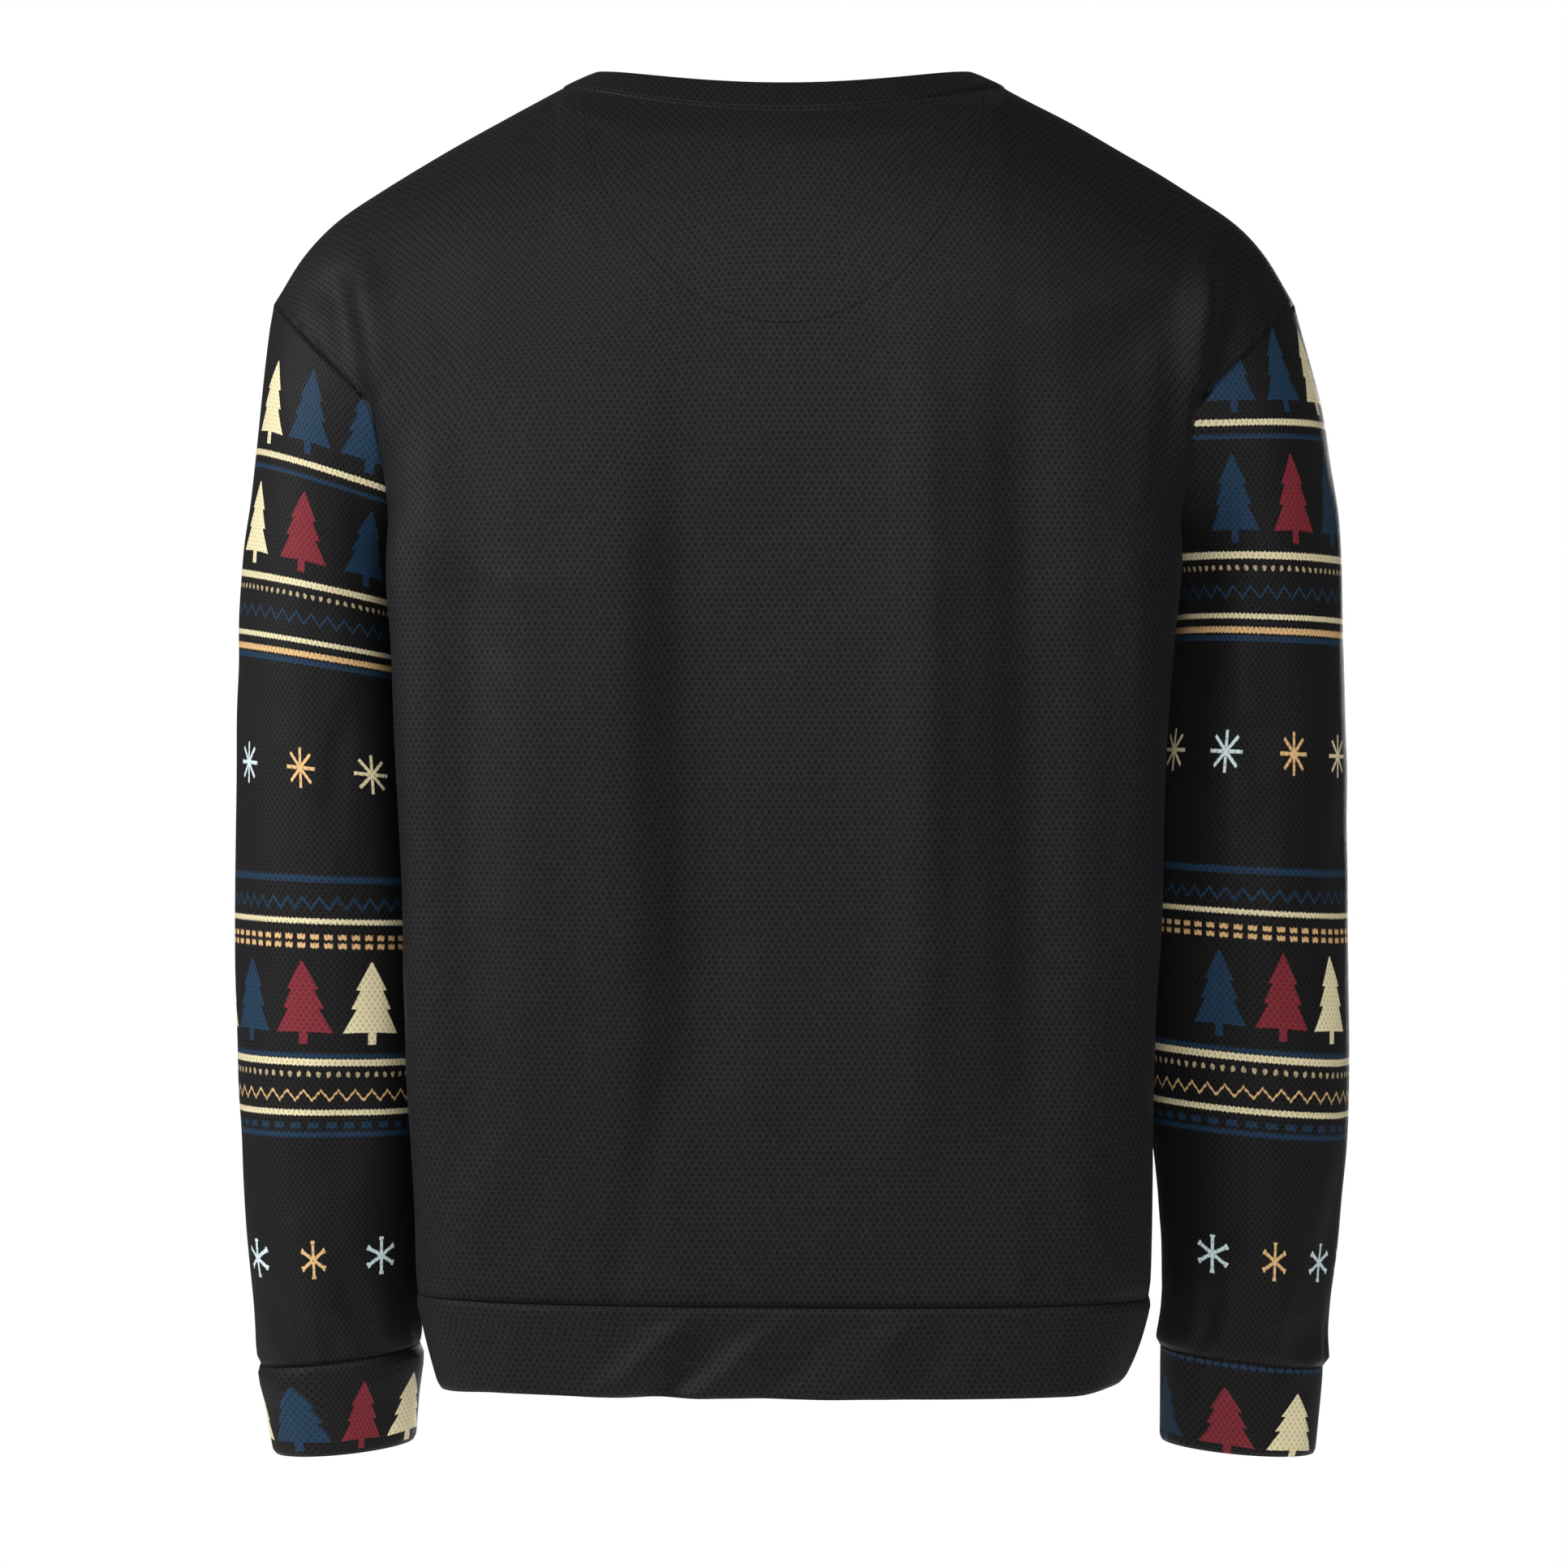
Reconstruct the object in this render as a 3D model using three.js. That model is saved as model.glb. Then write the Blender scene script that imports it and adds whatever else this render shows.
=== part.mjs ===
// Christmas sweatshirt: crew neck, dropped shoulders, set-in sleeves, banded hem, cuffs and neck.
// It keeps the hollow form that it has when worn, with every wall as thin as its cloth.
// Millimetres, +Z up, the front towards -Y and the wearer's left towards +X. The origin is the
// middle of the neck base, level with the tops of the shoulders.
import * as THREE from 'three';

// ---------- cloth ----------
const CLOTH_WALL = 2;
const BAND_WALL = 3;
const FACING_WALL = 1.2;
const SEAM_GAP = 0.3;
const BAND_PROUD = 0.8;

// ---------- levels ----------
const HEM_SEAM_Z = -651;
const HEM_EDGE_Z = -699;
const CUFF_HEIGHT = 50;

// ---------- mesh density ----------
const HALF_COLUMNS = 16;
const NECK_COLUMNS = 7;
const LEVEL_ROWS = 13;
const ARMHOLE_ROWS = 6;
const SHOULDER_ROWS = 8;
const SLEEVE_ROWS = 20;
const AROUND_SLEEVE = 2 * (ARMHOLE_ROWS + SHOULDER_ROWS);

// Torso sections. halfWidth: middle to the widest point; shift: of the section towards the
// wearer's left; inset: of the side seam inside the widest point, where the arm presses;
// cornerY: where the widest point lies behind and before the side seam; frontTuck: how much
// narrower the front is; back, front: depth of the middle; twist: turn about the vertical, degrees.
const TORSO = [
  { z: -699, halfWidth: 193, shift: -4.5, inset: 1, cornerY: 40, frontTuck: 0, back: 101, front: 102, twist: -3 },
  { z: -651, halfWidth: 198.5, shift: -4, inset: 2, cornerY: 45, frontTuck: 1, back: 104, front: 105, twist: -3 },
  { z: -602, halfWidth: 199, shift: -2.8, inset: 6, cornerY: 52, frontTuck: 3, back: 106, front: 107, twist: -2.6 },
  { z: -522, halfWidth: 198.6, shift: 0.8, inset: 12, cornerY: 58, frontTuck: 7, back: 108, front: 109, twist: -1.4 },
  { z: -433, halfWidth: 202, shift: 1.3, inset: 16, cornerY: 60, frontTuck: 9, back: 110, front: 111, twist: -0.4 },
  { z: -364, halfWidth: 204.2, shift: 2, inset: 17, cornerY: 61, frontTuck: 8, back: 111, front: 112, twist: 0 },
  { z: -313, halfWidth: 207, shift: 1.5, inset: 17, cornerY: 62, frontTuck: 6, back: 111, front: 113, twist: 0 },
  { z: -266, halfWidth: 211.8, shift: 0, inset: 17, cornerY: 62, frontTuck: 4, back: 110, front: 113, twist: 0 },
  { z: -246, halfWidth: 212.6, shift: 0, inset: 17, cornerY: 62, frontTuck: 4, back: 109, front: 113, twist: 0 },
  { z: -190, halfWidth: 216, shift: 0, inset: 17, cornerY: 62, frontTuck: 4, back: 108, front: 112, twist: 0 },
  { z: -140, halfWidth: 218, shift: 0, inset: 17, cornerY: 62, frontTuck: 4, back: 105, front: 108, twist: 0 },
];
const SECTION_SQUARENESS = 2.6;

// The armhole loop: two quarter ellipses, from the tip of the shoulder to the crease beside the
// shoulder blade, and from there under the arm.
const SHOULDER_TIP = { x: 278, z: -117 };
const CREASE = { x: 218.5, z: -176.6, back: 64, front: 60 };
const UNDERARM = { x: 203, z: -246 };
const UNDERARM_ARCH_HEIGHT = 10;
const ARMHOLE_GAP = 0.7;

// The shoulder blade row, from which the cloth rounds over the shoulders.
const BLADE = { back: -140, front: -176, turn: 68 };

// The shoulder ridge, from the neck base to the tip.
const RIDGE = [
  { x: 121, z: 0 }, { x: 150, z: -15.5 }, { x: 185, z: -34.5 }, { x: 220, z: -55.5 },
  { x: 244, z: -72 }, { x: 262, z: -91 }, { x: 278, z: -117 },
];

// The neck seam and the top edge of the neckband: half width, depth and level of the middle
// behind and before, the level at the sides, and the power of its fall to the middle of the front.
const NECK_SEAM = { halfWidth: 121, sideZ: 0, back: 72, backZ: -22.5, front: 86, frontZ: -86, frontRound: 1.4 };
const NECK_EDGE = { halfWidth: 102, sideZ: 9.2, back: 58, backZ: -4.9, front: 76, frontZ: -63, frontRound: 1.4 };
const NECK_TURN = { back: 60, front: 42 };

// Sleeve rings down the left sleeve: the outer and the inner point of each, how far its middle
// lies behind the side seam, its half depth, and how much further out the right sleeve hangs.
const SLEEVE = [
  { outX: 282, outZ: -150, inX: 209.5, inZ: -256, y: -2, halfDepth: 62, splayOut: 5, splayIn: 1 },
  { outX: 287, outZ: -190, inX: 211, inZ: -278, y: -5, halfDepth: 61, splayOut: 9.5, splayIn: 3 },
  { outX: 293, outZ: -240, inX: 208, inZ: -312, y: -8, halfDepth: 60, splayOut: 10, splayIn: 4 },
  { outX: 297.3, outZ: -300, inX: 202, inZ: -352, y: -10, halfDepth: 59, splayOut: 9, splayIn: 5 },
  { outX: 300, outZ: -365, inX: 197, inZ: -398, y: -11, halfDepth: 58, splayOut: 8, splayIn: 5 },
  { outX: 301.3, outZ: -430, inX: 194, inZ: -446, y: -12, halfDepth: 57, splayOut: 8, splayIn: 5 },
  { outX: 300, outZ: -500, inX: 194, inZ: -502, y: -14, halfDepth: 55, splayOut: 10.5, splayIn: 5 },
  { outX: 298.3, outZ: -560, inX: 196, inZ: -556, y: -17, halfDepth: 53, splayOut: 11.5, splayIn: 5 },
  { outX: 296, outZ: -618, inX: 199, inZ: -608, y: -21, halfDepth: 50, splayOut: 10.5, splayIn: 7 },
  { outX: 291.5, outZ: -666, inX: 201, inZ: -655, y: -24, halfDepth: 46, splayOut: 10, splayIn: 7.5 },
  { outX: 288.5, outZ: -698, inX: 201.5, inZ: -687.5, y: -26, halfDepth: 42, splayOut: 9.5, splayIn: 6 },
];
const CUFF_EDGE = { outX: 281.5, outZ: -747, inX: 204, inZ: -740, y: -28, halfDepth: 37, splayOut: 12, splayIn: 4 };

// The half-moon facing inside the back neck.
const HALF_MOON = { halfWidth: 107, drop: 116, topClear: 1.2, columns: 14, rows: 6, end: 0.985 };

// Folds. Each runs from (p0, q0) to (p1, q1) in millimetres across and down its piece, bowed
// sideways in its middle; reach is its half width, and height is negative for a trough.
// Across is X on the body and the hem, and the way round from the outer line on a sleeve.
const FOLDS = [
  { on: 'back_panel', p0: 118, q0: -110, p1: 128, q1: -610, bow: 6, reach: 34, height: 5 },
  { on: 'back_panel', p0: -92, q0: -120, p1: -84, q1: -600, bow: -8, reach: 34, height: 5 },
  { on: 'back_panel', p0: 20, q0: -180, p1: 34, q1: -560, bow: 5, reach: 30, height: -4 },
  { on: 'back_panel', p0: 229, q0: -92, p1: 209, q1: -214, bow: 3, reach: 15, height: 4.5 },
  { on: 'back_panel', p0: 248, q0: -98, p1: 226, q1: -176, bow: 5, reach: 13, height: -4.5 },
  { on: 'back_panel', p0: -226, q0: -94, p1: -210, q1: -205, bow: 3, reach: 16, height: 3.5 },
  { on: 'back_panel', p0: -247, q0: -104, p1: -226, q1: -172, bow: -4, reach: 14, height: -3 },
  { on: 'front_panel', p0: 205, q0: -110, p1: 165, q1: -250, bow: 8, reach: 18, height: 5 },
  { on: 'front_panel', p0: -207, q0: -112, p1: -160, q1: -262, bow: -8, reach: 18, height: 5 },
  { on: 'front_panel', p0: 95, q0: -300, p1: 120, q1: -640, bow: 10, reach: 34, height: 5 },
  { on: 'front_panel', p0: -104, q0: -330, p1: -92, q1: -630, bow: -8, reach: 36, height: 4 },
  { on: 'front_panel', p0: 0, q0: -260, p1: -14, q1: -600, bow: 6, reach: 32, height: -4 },
  { on: 'hem_band', p0: 54, q0: -654, p1: 96, q1: -706, bow: 3, reach: 9, height: 2.4 },
  { on: 'hem_band', p0: 36, q0: -652, p1: 80, q1: -712, bow: 2, reach: 8, height: -2.4 },
  { on: 'hem_band', p0: -42, q0: -654, p1: -64, q1: -712, bow: 3, reach: 12, height: 1.6 },
  { on: 'left_sleeve', p0: 60, q0: -600, p1: 74, q1: -684, bow: 4, reach: 12, height: 3 },
  { on: 'left_sleeve', p0: 112, q0: -520, p1: 84, q1: -610, bow: 6, reach: 16, height: -3 },
  { on: 'left_sleeve', p0: -96, q0: -420, p1: -50, q1: -490, bow: 8, reach: 18, height: -4 },
  { on: 'left_sleeve', p0: -112, q0: -450, p1: -60, q1: -540, bow: 8, reach: 18, height: 4 },
  { on: 'right_sleeve', p0: 88, q0: -610, p1: 60, q1: -690, bow: 4, reach: 12, height: 3 },
  { on: 'right_sleeve', p0: 104, q0: -260, p1: 84, q1: -380, bow: 6, reach: 18, height: -3 },
  { on: 'right_sleeve', p0: -94, q0: -430, p1: -48, q1: -500, bow: 8, reach: 18, height: -4 },
  { on: 'right_sleeve', p0: -110, q0: -470, p1: -62, q1: -560, bow: 8, reach: 18, height: 4 },
];
const FOLD_FADE = 28;

// ---------- colours ----------
const BLACK_CLOTH = { color: 0x2b2b2d, roughness: 0.85, metalness: 0 };
const SLEEVE_CLOTH = { color: 0x252424, roughness: 0.85, metalness: 0 };

// ---------- small tools ----------
const { lerp, degToRad } = THREE.MathUtils;
const ease = (t) => THREE.MathUtils.smoothstep(t, 0, 1);
const vec = (x, y, z) => new THREE.Vector3(x, y, z);
const UP = vec(0, 0, 1);
const bell = (distance, reach) => Math.exp(-((distance / reach) ** 2));

// Reads a table at a level: each other column follows a smooth curve through its rows.
function readTable(rows, key, at) {
  const last = rows.length - 2;
  let k = rows.findIndex((row, index) => index > 0 && at <= row[key]) - 1;
  k = k < 0 ? last : k;
  const span = rows[k + 1][key] - rows[k][key];
  const t = THREE.MathUtils.clamp((at - rows[k][key]) / span, 0, 1);
  const slope = (index, column) => {
    const low = rows[Math.max(index - 1, 0)];
    const high = rows[Math.min(index + 1, rows.length - 1)];
    return (high[column] - low[column]) / (high[key] - low[key]);
  };
  const result = {};
  for (const column of Object.keys(rows[0])) {
    const a = rows[k][column];
    const b = rows[k + 1][column];
    const rise = 3 * t * t - 2 * t * t * t;
    const leave = (t * t * t - 2 * t * t + t) * span * slope(k, column);
    const arrive = (t * t * t - t * t) * span * slope(k + 1, column);
    result[column] = a + (b - a) * rise + leave + arrive;
  }
  return result;
}

// Spreads count + 1 points evenly along a polyline, or by a list of shares of its length.
function spread(points, count, share = (t) => t) {
  const lengths = [0];
  for (let k = 1; k < points.length; k++) {
    lengths.push(lengths[k - 1] + points[k].distanceTo(points[k - 1]));
  }
  const total = lengths[lengths.length - 1];
  const result = [];
  for (let i = 0, k = 1; i <= count; i++) {
    const at = total * share(i / count);
    while (k < points.length - 1 && lengths[k] < at) k++;
    const t = (at - lengths[k - 1]) / (lengths[k] - lengths[k - 1] || 1);
    result.push(points[k - 1].clone().lerp(points[k], Math.min(t, 1)));
  }
  return result;
}

// ---------- walls ----------
// Surface normals of a grid of rows, by the cross product of its two directions.
function gridNormals(grid, closed) {
  const rows = grid.length;
  const columns = grid[0].length;
  return grid.map((row, j) => row.map((point, i) => {
    const before = closed ? row[(i + columns - 1) % columns] : row[Math.max(i - 1, 0)];
    const after = closed ? row[(i + 1) % columns] : row[Math.min(i + 1, columns - 1)];
    const below = grid[Math.max(j - 1, 0)][i];
    const above = grid[Math.min(j + 1, rows - 1)][i];
    return after.clone().sub(before).cross(above.clone().sub(below)).normalize();
  }));
}

// A wall between an outer grid and an inner one, closed by rims along its free edges.
function wallGeometry(outer, inner, closed) {
  const rows = outer.length;
  const columns = outer[0].length;
  const position = [...outer.flat(), ...inner.flat()].flatMap((point) => point.toArray());
  const index = [];
  const at = (side, j, i) => side * rows * columns + j * columns + (i % columns);
  const quad = (a, b, c, d) => index.push(a, b, c, a, c, d);
  const spans = closed ? columns : columns - 1;
  for (let j = 0; j < rows - 1; j++) {
    for (let i = 0; i < spans; i++) {
      const next = (i + 1) % columns;
      const rising = outer[j][i].distanceTo(outer[j + 1][next]);
      const falling = outer[j][next].distanceTo(outer[j + 1][i]);
      if (rising < falling) {
        quad(at(0, j, i), at(0, j, i + 1), at(0, j + 1, i + 1), at(0, j + 1, i));
        quad(at(1, j, i), at(1, j + 1, i), at(1, j + 1, i + 1), at(1, j, i + 1));
      } else {
        quad(at(0, j, i + 1), at(0, j + 1, i + 1), at(0, j + 1, i), at(0, j, i));
        quad(at(1, j + 1, i), at(1, j + 1, i + 1), at(1, j, i + 1), at(1, j, i));
      }
    }
  }
  for (let i = 0; i < spans; i++) {
    quad(at(0, 0, i), at(1, 0, i), at(1, 0, i + 1), at(0, 0, i + 1));
    quad(at(0, rows - 1, i), at(0, rows - 1, i + 1), at(1, rows - 1, i + 1), at(1, rows - 1, i));
  }
  if (!closed) {
    for (let j = 0; j < rows - 1; j++) {
      const end = columns - 1;
      quad(at(0, j, 0), at(0, j + 1, 0), at(1, j + 1, 0), at(1, j, 0));
      quad(at(0, j, end), at(1, j, end), at(1, j + 1, end), at(0, j + 1, end));
    }
  }
  return outwardGeometry(position, index);
}

// Builds the geometry with its faces pointing out, told from the sign of its volume.
function outwardGeometry(position, index) {
  const corner = (k) => new THREE.Vector3().fromArray(position, 3 * index[k]);
  let volume = 0;
  for (let k = 0; k < index.length; k += 3) {
    volume += corner(k).dot(corner(k + 1).cross(corner(k + 2)));
  }
  if (volume < 0) index.reverse();
  const geometry = new THREE.BufferGeometry();
  geometry.setAttribute('position', new THREE.Float32BufferAttribute(position, 3));
  geometry.setIndex(index);
  geometry.computeVertexNormals();
  return geometry;
}

// How far the folds of a piece lift its cloth at (p, q).
function foldHeight(piece, p, q) {
  let height = 0;
  for (const fold of FOLDS.filter((row) => row.on === piece)) {
    const along = new THREE.Vector2(fold.p1 - fold.p0, fold.q1 - fold.q0);
    const length = along.length();
    along.divideScalar(length);
    const dp = p - fold.p0;
    const dq = q - fold.q0;
    const t = (dp * along.x + dq * along.y) / length;
    if (t <= 0 || t >= 1) continue;
    const sideways = dp * along.y - dq * along.x - fold.bow * 4 * t * (1 - t);
    height += fold.height * bell(sideways, fold.reach) * ease(t / 0.3) * ease((1 - t) / 0.3);
  }
  return height;
}

// ---------- body ----------
const torsoAt = (z) => readTable(TORSO, 'z', z);
const power = (value) => Math.max(value, 0) ** (2 / SECTION_SQUARENESS);

// One half of a body row, from the middle round the corner to its side edge. The first arc is
// part of a superellipse, and the second eases from the widest point in to the edge.
function halfRow(middle, corner, edge, turnDegrees) {
  const STEPS = 60;
  const turn = degToRad(turnDegrees);
  const points = [];
  for (let k = 0; k <= STEPS; k++) {
    const angle = (k / STEPS) * turn;
    const outward = power(Math.sin(angle)) / power(Math.sin(turn));
    const flat = power(Math.cos(turn));
    const backward = (power(Math.cos(angle)) - flat) / (1 - flat);
    points.push(vec(lerp(middle.x, corner.x, outward), lerp(corner.y, middle.y, backward), middle.z));
  }
  for (let k = 1; k <= STEPS / 2; k++) {
    const t = k / (STEPS / 2);
    points.push(vec(lerp(corner.x, edge.x, ease(t)), lerp(corner.y, edge.y, t), middle.z));
  }
  const row = spread(points, HALF_COLUMNS, (t) => t + (0.3 * Math.sin(Math.PI * t)) / Math.PI);
  row.forEach((point, i) => {
    point.z = lerp(middle.z, edge.z, (i / HALF_COLUMNS) ** 2);
  });
  return row;
}

// A half row of the body between the hem and the underarm, at one level.
function levelHalfRow(face, side, z) {
  const section = torsoAt(z);
  const isBack = face === 'back';
  const depth = isBack ? section.back : -section.front;
  const cornerY = isBack ? section.cornerY : -section.cornerY;
  const reach = section.halfWidth - (isBack ? 0 : section.frontTuck);
  const sideX = section.shift + side * (section.halfWidth - section.inset);
  const arch = Math.exp((z - UNDERARM.z) / UNDERARM_ARCH_HEIGHT);
  const middle = vec(section.shift, depth, z);
  const corner = vec(section.shift + side * reach, cornerY, z);
  const edge = vec(lerp(sideX, side * UNDERARM.x, arch), 0, z);
  const turned = degToRad(section.twist);
  return halfRow(middle, corner, edge, 90).map((point) => point.applyAxisAngle(UP, turned));
}

// The armhole loop: swing is -90 under the arm, 0 at the crease and 90 at the shoulder tip.
function armholePoint(face, side, swing) {
  const s = Math.sin(degToRad(swing));
  const end = s > 0 ? SHOULDER_TIP : UNDERARM;
  const depth = face === 'back' ? CREASE.back : -CREASE.front;
  const x = lerp(CREASE.x, end.x, Math.abs(s));
  const z = lerp(CREASE.z, end.z, Math.abs(s));
  return vec(side * x, depth * Math.cos(degToRad(swing)), z);
}

// A half row whose side edge lies on the lower armhole.
function armholeHalfRow(face, side, swing) {
  const edge = armholePoint(face, side, swing);
  const share = 1 + Math.sin(degToRad(swing));
  const underarm = torsoAt(UNDERARM.z);
  const isBack = face === 'back';
  const reach = underarm.halfWidth - (isBack ? 0 : underarm.frontTuck);
  const cornerY = isBack ? underarm.cornerY : -underarm.cornerY;
  const z = lerp(UNDERARM.z, BLADE[face], share);
  const depth = isBack ? torsoAt(z).back : -torsoAt(z).front;
  const crease = armholePoint(face, side, 0);
  const corner = vec(side * lerp(reach, CREASE.x, share), lerp(cornerY, crease.y, share), z);
  return halfRow(vec(0, depth, z), corner, edge, lerp(90, BLADE.turn, ease(share)));
}

// A neck line at a turn of 0 in the middle of the face to 90 at the side.
function neckPoint(line, face, side, turnDegrees) {
  const angle = degToRad(turnDegrees);
  const cos = Math.cos(angle);
  const depth = face === 'back' ? line.back : -line.front;
  const middleZ = face === 'back' ? line.backZ : line.frontZ;
  const fall = Math.max(cos, 0) ** (face === 'back' ? 2 : line.frontRound);
  return vec(side * line.halfWidth * Math.sin(angle), depth * cos, lerp(line.sideZ, middleZ, fall));
}

// The top edge of a face: the neck seam, then the ridge of the shoulder to its tip.
function topHalfRow(face, side) {
  const toFace = face === 'back' ? SEAM_GAP / 2 : -SEAM_GAP / 2;
  const row = [];
  for (let i = 0; i <= NECK_COLUMNS; i++) {
    row.push(neckPoint(NECK_SEAM, face, side, (90 * i) / NECK_COLUMNS));
  }
  row[NECK_COLUMNS].y = toFace;
  const ridge = new THREE.CatmullRomCurve3(RIDGE.map((point) => vec(side * point.x, toFace, point.z)));
  const ridgeColumns = HALF_COLUMNS - NECK_COLUMNS;
  return row.concat(ridge.getSpacedPoints(ridgeColumns).slice(1));
}

// A half row between the shoulder blades (rise 0) and the top edge (rise 90): each column is
// part of an ellipse that rounds over the shoulder.
function shoulderHalfRow(face, side, rise) {
  const low = armholeHalfRow(face, side, 0);
  const top = topHalfRow(face, side);
  return low.map((start, i) => {
    const neckShare = Math.min(i / NECK_COLUMNS, 1);
    const most = degToRad(lerp(NECK_TURN[face], 90, neckShare ** 2));
    const angle = (rise / 90) * most;
    const up = Math.sin(angle) / Math.sin(most);
    const over = (Math.cos(angle) - Math.cos(most)) / (1 - Math.cos(most));
    const end = top[i];
    return vec(lerp(start.x, end.x, up), lerp(end.y, start.y, over), lerp(start.z, end.z, up));
  });
}

// Every row of one face, from the hem seam up to the neck and shoulders, right edge to left edge.
function faceGrid(face) {
  const grid = [];
  const addRow = (half) => grid.push([...half(-1).reverse(), ...half(1).slice(1)]);
  for (let j = 0; j <= LEVEL_ROWS; j++) {
    const z = lerp(HEM_SEAM_Z, UNDERARM.z, 1 - (1 - j / LEVEL_ROWS) ** 1.5);
    addRow((side) => levelHalfRow(face, side, z));
  }
  for (let j = 1; j <= ARMHOLE_ROWS; j++) {
    addRow((side) => armholeHalfRow(face, side, -90 + (90 * j) / ARMHOLE_ROWS));
  }
  for (let j = 1; j <= SHOULDER_ROWS; j++) {
    addRow((side) => shoulderHalfRow(face, side, (90 * j) / SHOULDER_ROWS));
  }
  return grid;
}

// Evens out the slope between the three kinds of row, away from the panel's edges.
function smoothRows(grid) {
  const PASSES = 3;
  for (let pass = 0; pass < PASSES; pass++) {
    const old = grid.map((row) => row.map((point) => point.clone()));
    for (let j = LEVEL_ROWS - 2; j < grid.length - 3; j++) {
      for (let i = 1; i < grid[j].length - 1; i++) {
        const mean = old[j - 1][i].clone().add(old[j + 1][i]).multiplyScalar(0.5);
        grid[j][i].lerp(mean, 0.4);
      }
    }
  }
}

// The way into the garment at a point of the neck seam, square to the seam and the neckband.
function neckInward(panelFace, side, turnDegrees) {
  const face = turnDegrees === 90 ? 'back' : panelFace;
  const step = 0.5;
  const seam = neckPoint(NECK_SEAM, face, side, turnDegrees);
  const before = neckPoint(NECK_SEAM, face, side, turnDegrees - step);
  const after = neckPoint(NECK_SEAM, face, side, turnDegrees + step);
  const edge = neckPoint(NECK_EDGE, face, side, turnDegrees);
  const way = after.sub(before).cross(edge.sub(seam)).normalize();
  const toMiddle = vec(0, 0, seam.z - 100).sub(seam);
  return way.dot(toMiddle) < 0 ? way.negate() : way;
}

// Parts the side edges of a face from its neighbour and lifts its folds.
function faceOuter(face) {
  const name = `${face}_panel`;
  const faceSign = face === 'back' ? 1 : -1;
  const grid = faceGrid(face);
  smoothRows(grid);
  const lastRow = grid.length - 1;
  const lastColumn = grid[0].length - 1;
  const normals = faceNormals(grid);
  const outer = grid.map((row, j) => row.map((point, i) => {
    const toSide = Math.min(row[0].distanceTo(point), row[lastColumn].distanceTo(point));
    const toEnd = Math.min(point.z - HEM_SEAM_Z, grid[lastRow][i].distanceTo(point));
    const fade = ease(Math.min(toSide, toEnd) / FOLD_FADE);
    const lifted = point.clone();
    lifted.addScaledVector(normals[j][i], fade * foldHeight(name, point.x, point.z));
    const onSideSeam = (i === 0 || i === lastColumn) && j <= LEVEL_ROWS;
    if (onSideSeam) lifted.y += (faceSign * SEAM_GAP) / 2;
    return lifted;
  }));
  return { name, face, outer, outward: faceNormals(outer) };
}

// Outward normals of a face. They are turned away from a line down the middle of the body.
function faceNormals(grid) {
  const INSIDE_X = 150;
  const inwardAt = (j, i) => {
    const point = grid[j][i];
    const inside = vec(THREE.MathUtils.clamp(point.x, -INSIDE_X, INSIDE_X), 0, Math.min(point.z, -150));
    return inside.sub(point);
  };
  const middle = HALF_COLUMNS;
  const normals = gridNormals(grid, false);
  const sign = normals[LEVEL_ROWS][middle].dot(inwardAt(LEVEL_ROWS, middle)) > 0 ? -1 : 1;
  return normals.map((row) => row.map((normal) => normal.multiplyScalar(sign)));
}

// The inner side of a face. armholes gives the inward way of each armhole edge point.
function finishFace(piece, armholes) {
  const { face, outer, outward } = piece;
  const lastRow = outer.length - 1;
  const lastColumn = outer[0].length - 1;
  const inward = outer.map((row, j) => row.map((point, i) => {
    const side = i < HALF_COLUMNS ? -1 : 1;
    const onSide = i === 0 || i === lastColumn;
    const fromMiddle = Math.abs(i - HALF_COLUMNS);
    if (onSide && j >= LEVEL_ROWS) return armholes[side].ways[face][j - LEVEL_ROWS].clone();
    if (j === lastRow && fromMiddle <= NECK_COLUMNS) {
      return neckInward(face, side, (90 * fromMiddle) / NECK_COLUMNS);
    }
    const way = outward[j][i].clone().negate();
    if (onSide || j === lastRow) way.y = 0;
    if (j === 0) way.z = 0;
    return way.normalize();
  }));
  const inner = outer.map((row, j) => row.map((point, i) => (
    point.clone().addScaledVector(inward[j][i], CLOTH_WALL))));
  return { ...piece, inward, inner };
}

// ---------- sleeves and cuffs ----------
// A point of a ring, by its outer and inner points; swing runs as it does round the armhole.
function ringPoint(ring, side, face, swing) {
  const wide = side < 0 ? 1 : 0;
  const out = vec(side * (ring.outX + wide * ring.splayOut), ring.y, ring.outZ);
  const into = vec(side * (ring.inX + wide * ring.splayIn), ring.y, ring.inZ);
  const angle = degToRad(swing);
  const depth = (face === 'back' ? ring.halfDepth : -ring.halfDepth) * Math.cos(angle);
  return into.lerp(out, (1 + Math.sin(angle)) / 2).add(vec(0, depth, 0));
}

// The swings round a sleeve, from the tip down the back to the underarm and up the front, so that
// its first ring has the points of the panels' armhole edges.
function sleeveSwings() {
  const up = [];
  for (let k = 0; k < ARMHOLE_ROWS; k++) up.push({ swing: -90 + (90 * k) / ARMHOLE_ROWS, row: k });
  for (let k = 0; k <= SHOULDER_ROWS; k++) {
    up.push({ swing: (90 * k) / SHOULDER_ROWS, row: ARMHOLE_ROWS + k });
  }
  const back = up.slice(1).reverse().map((place) => ({ face: 'back', ...place }));
  const front = up.slice(0, -1).map((place) => ({ face: 'front', ...place }));
  return [...back, ...front];
}

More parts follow.
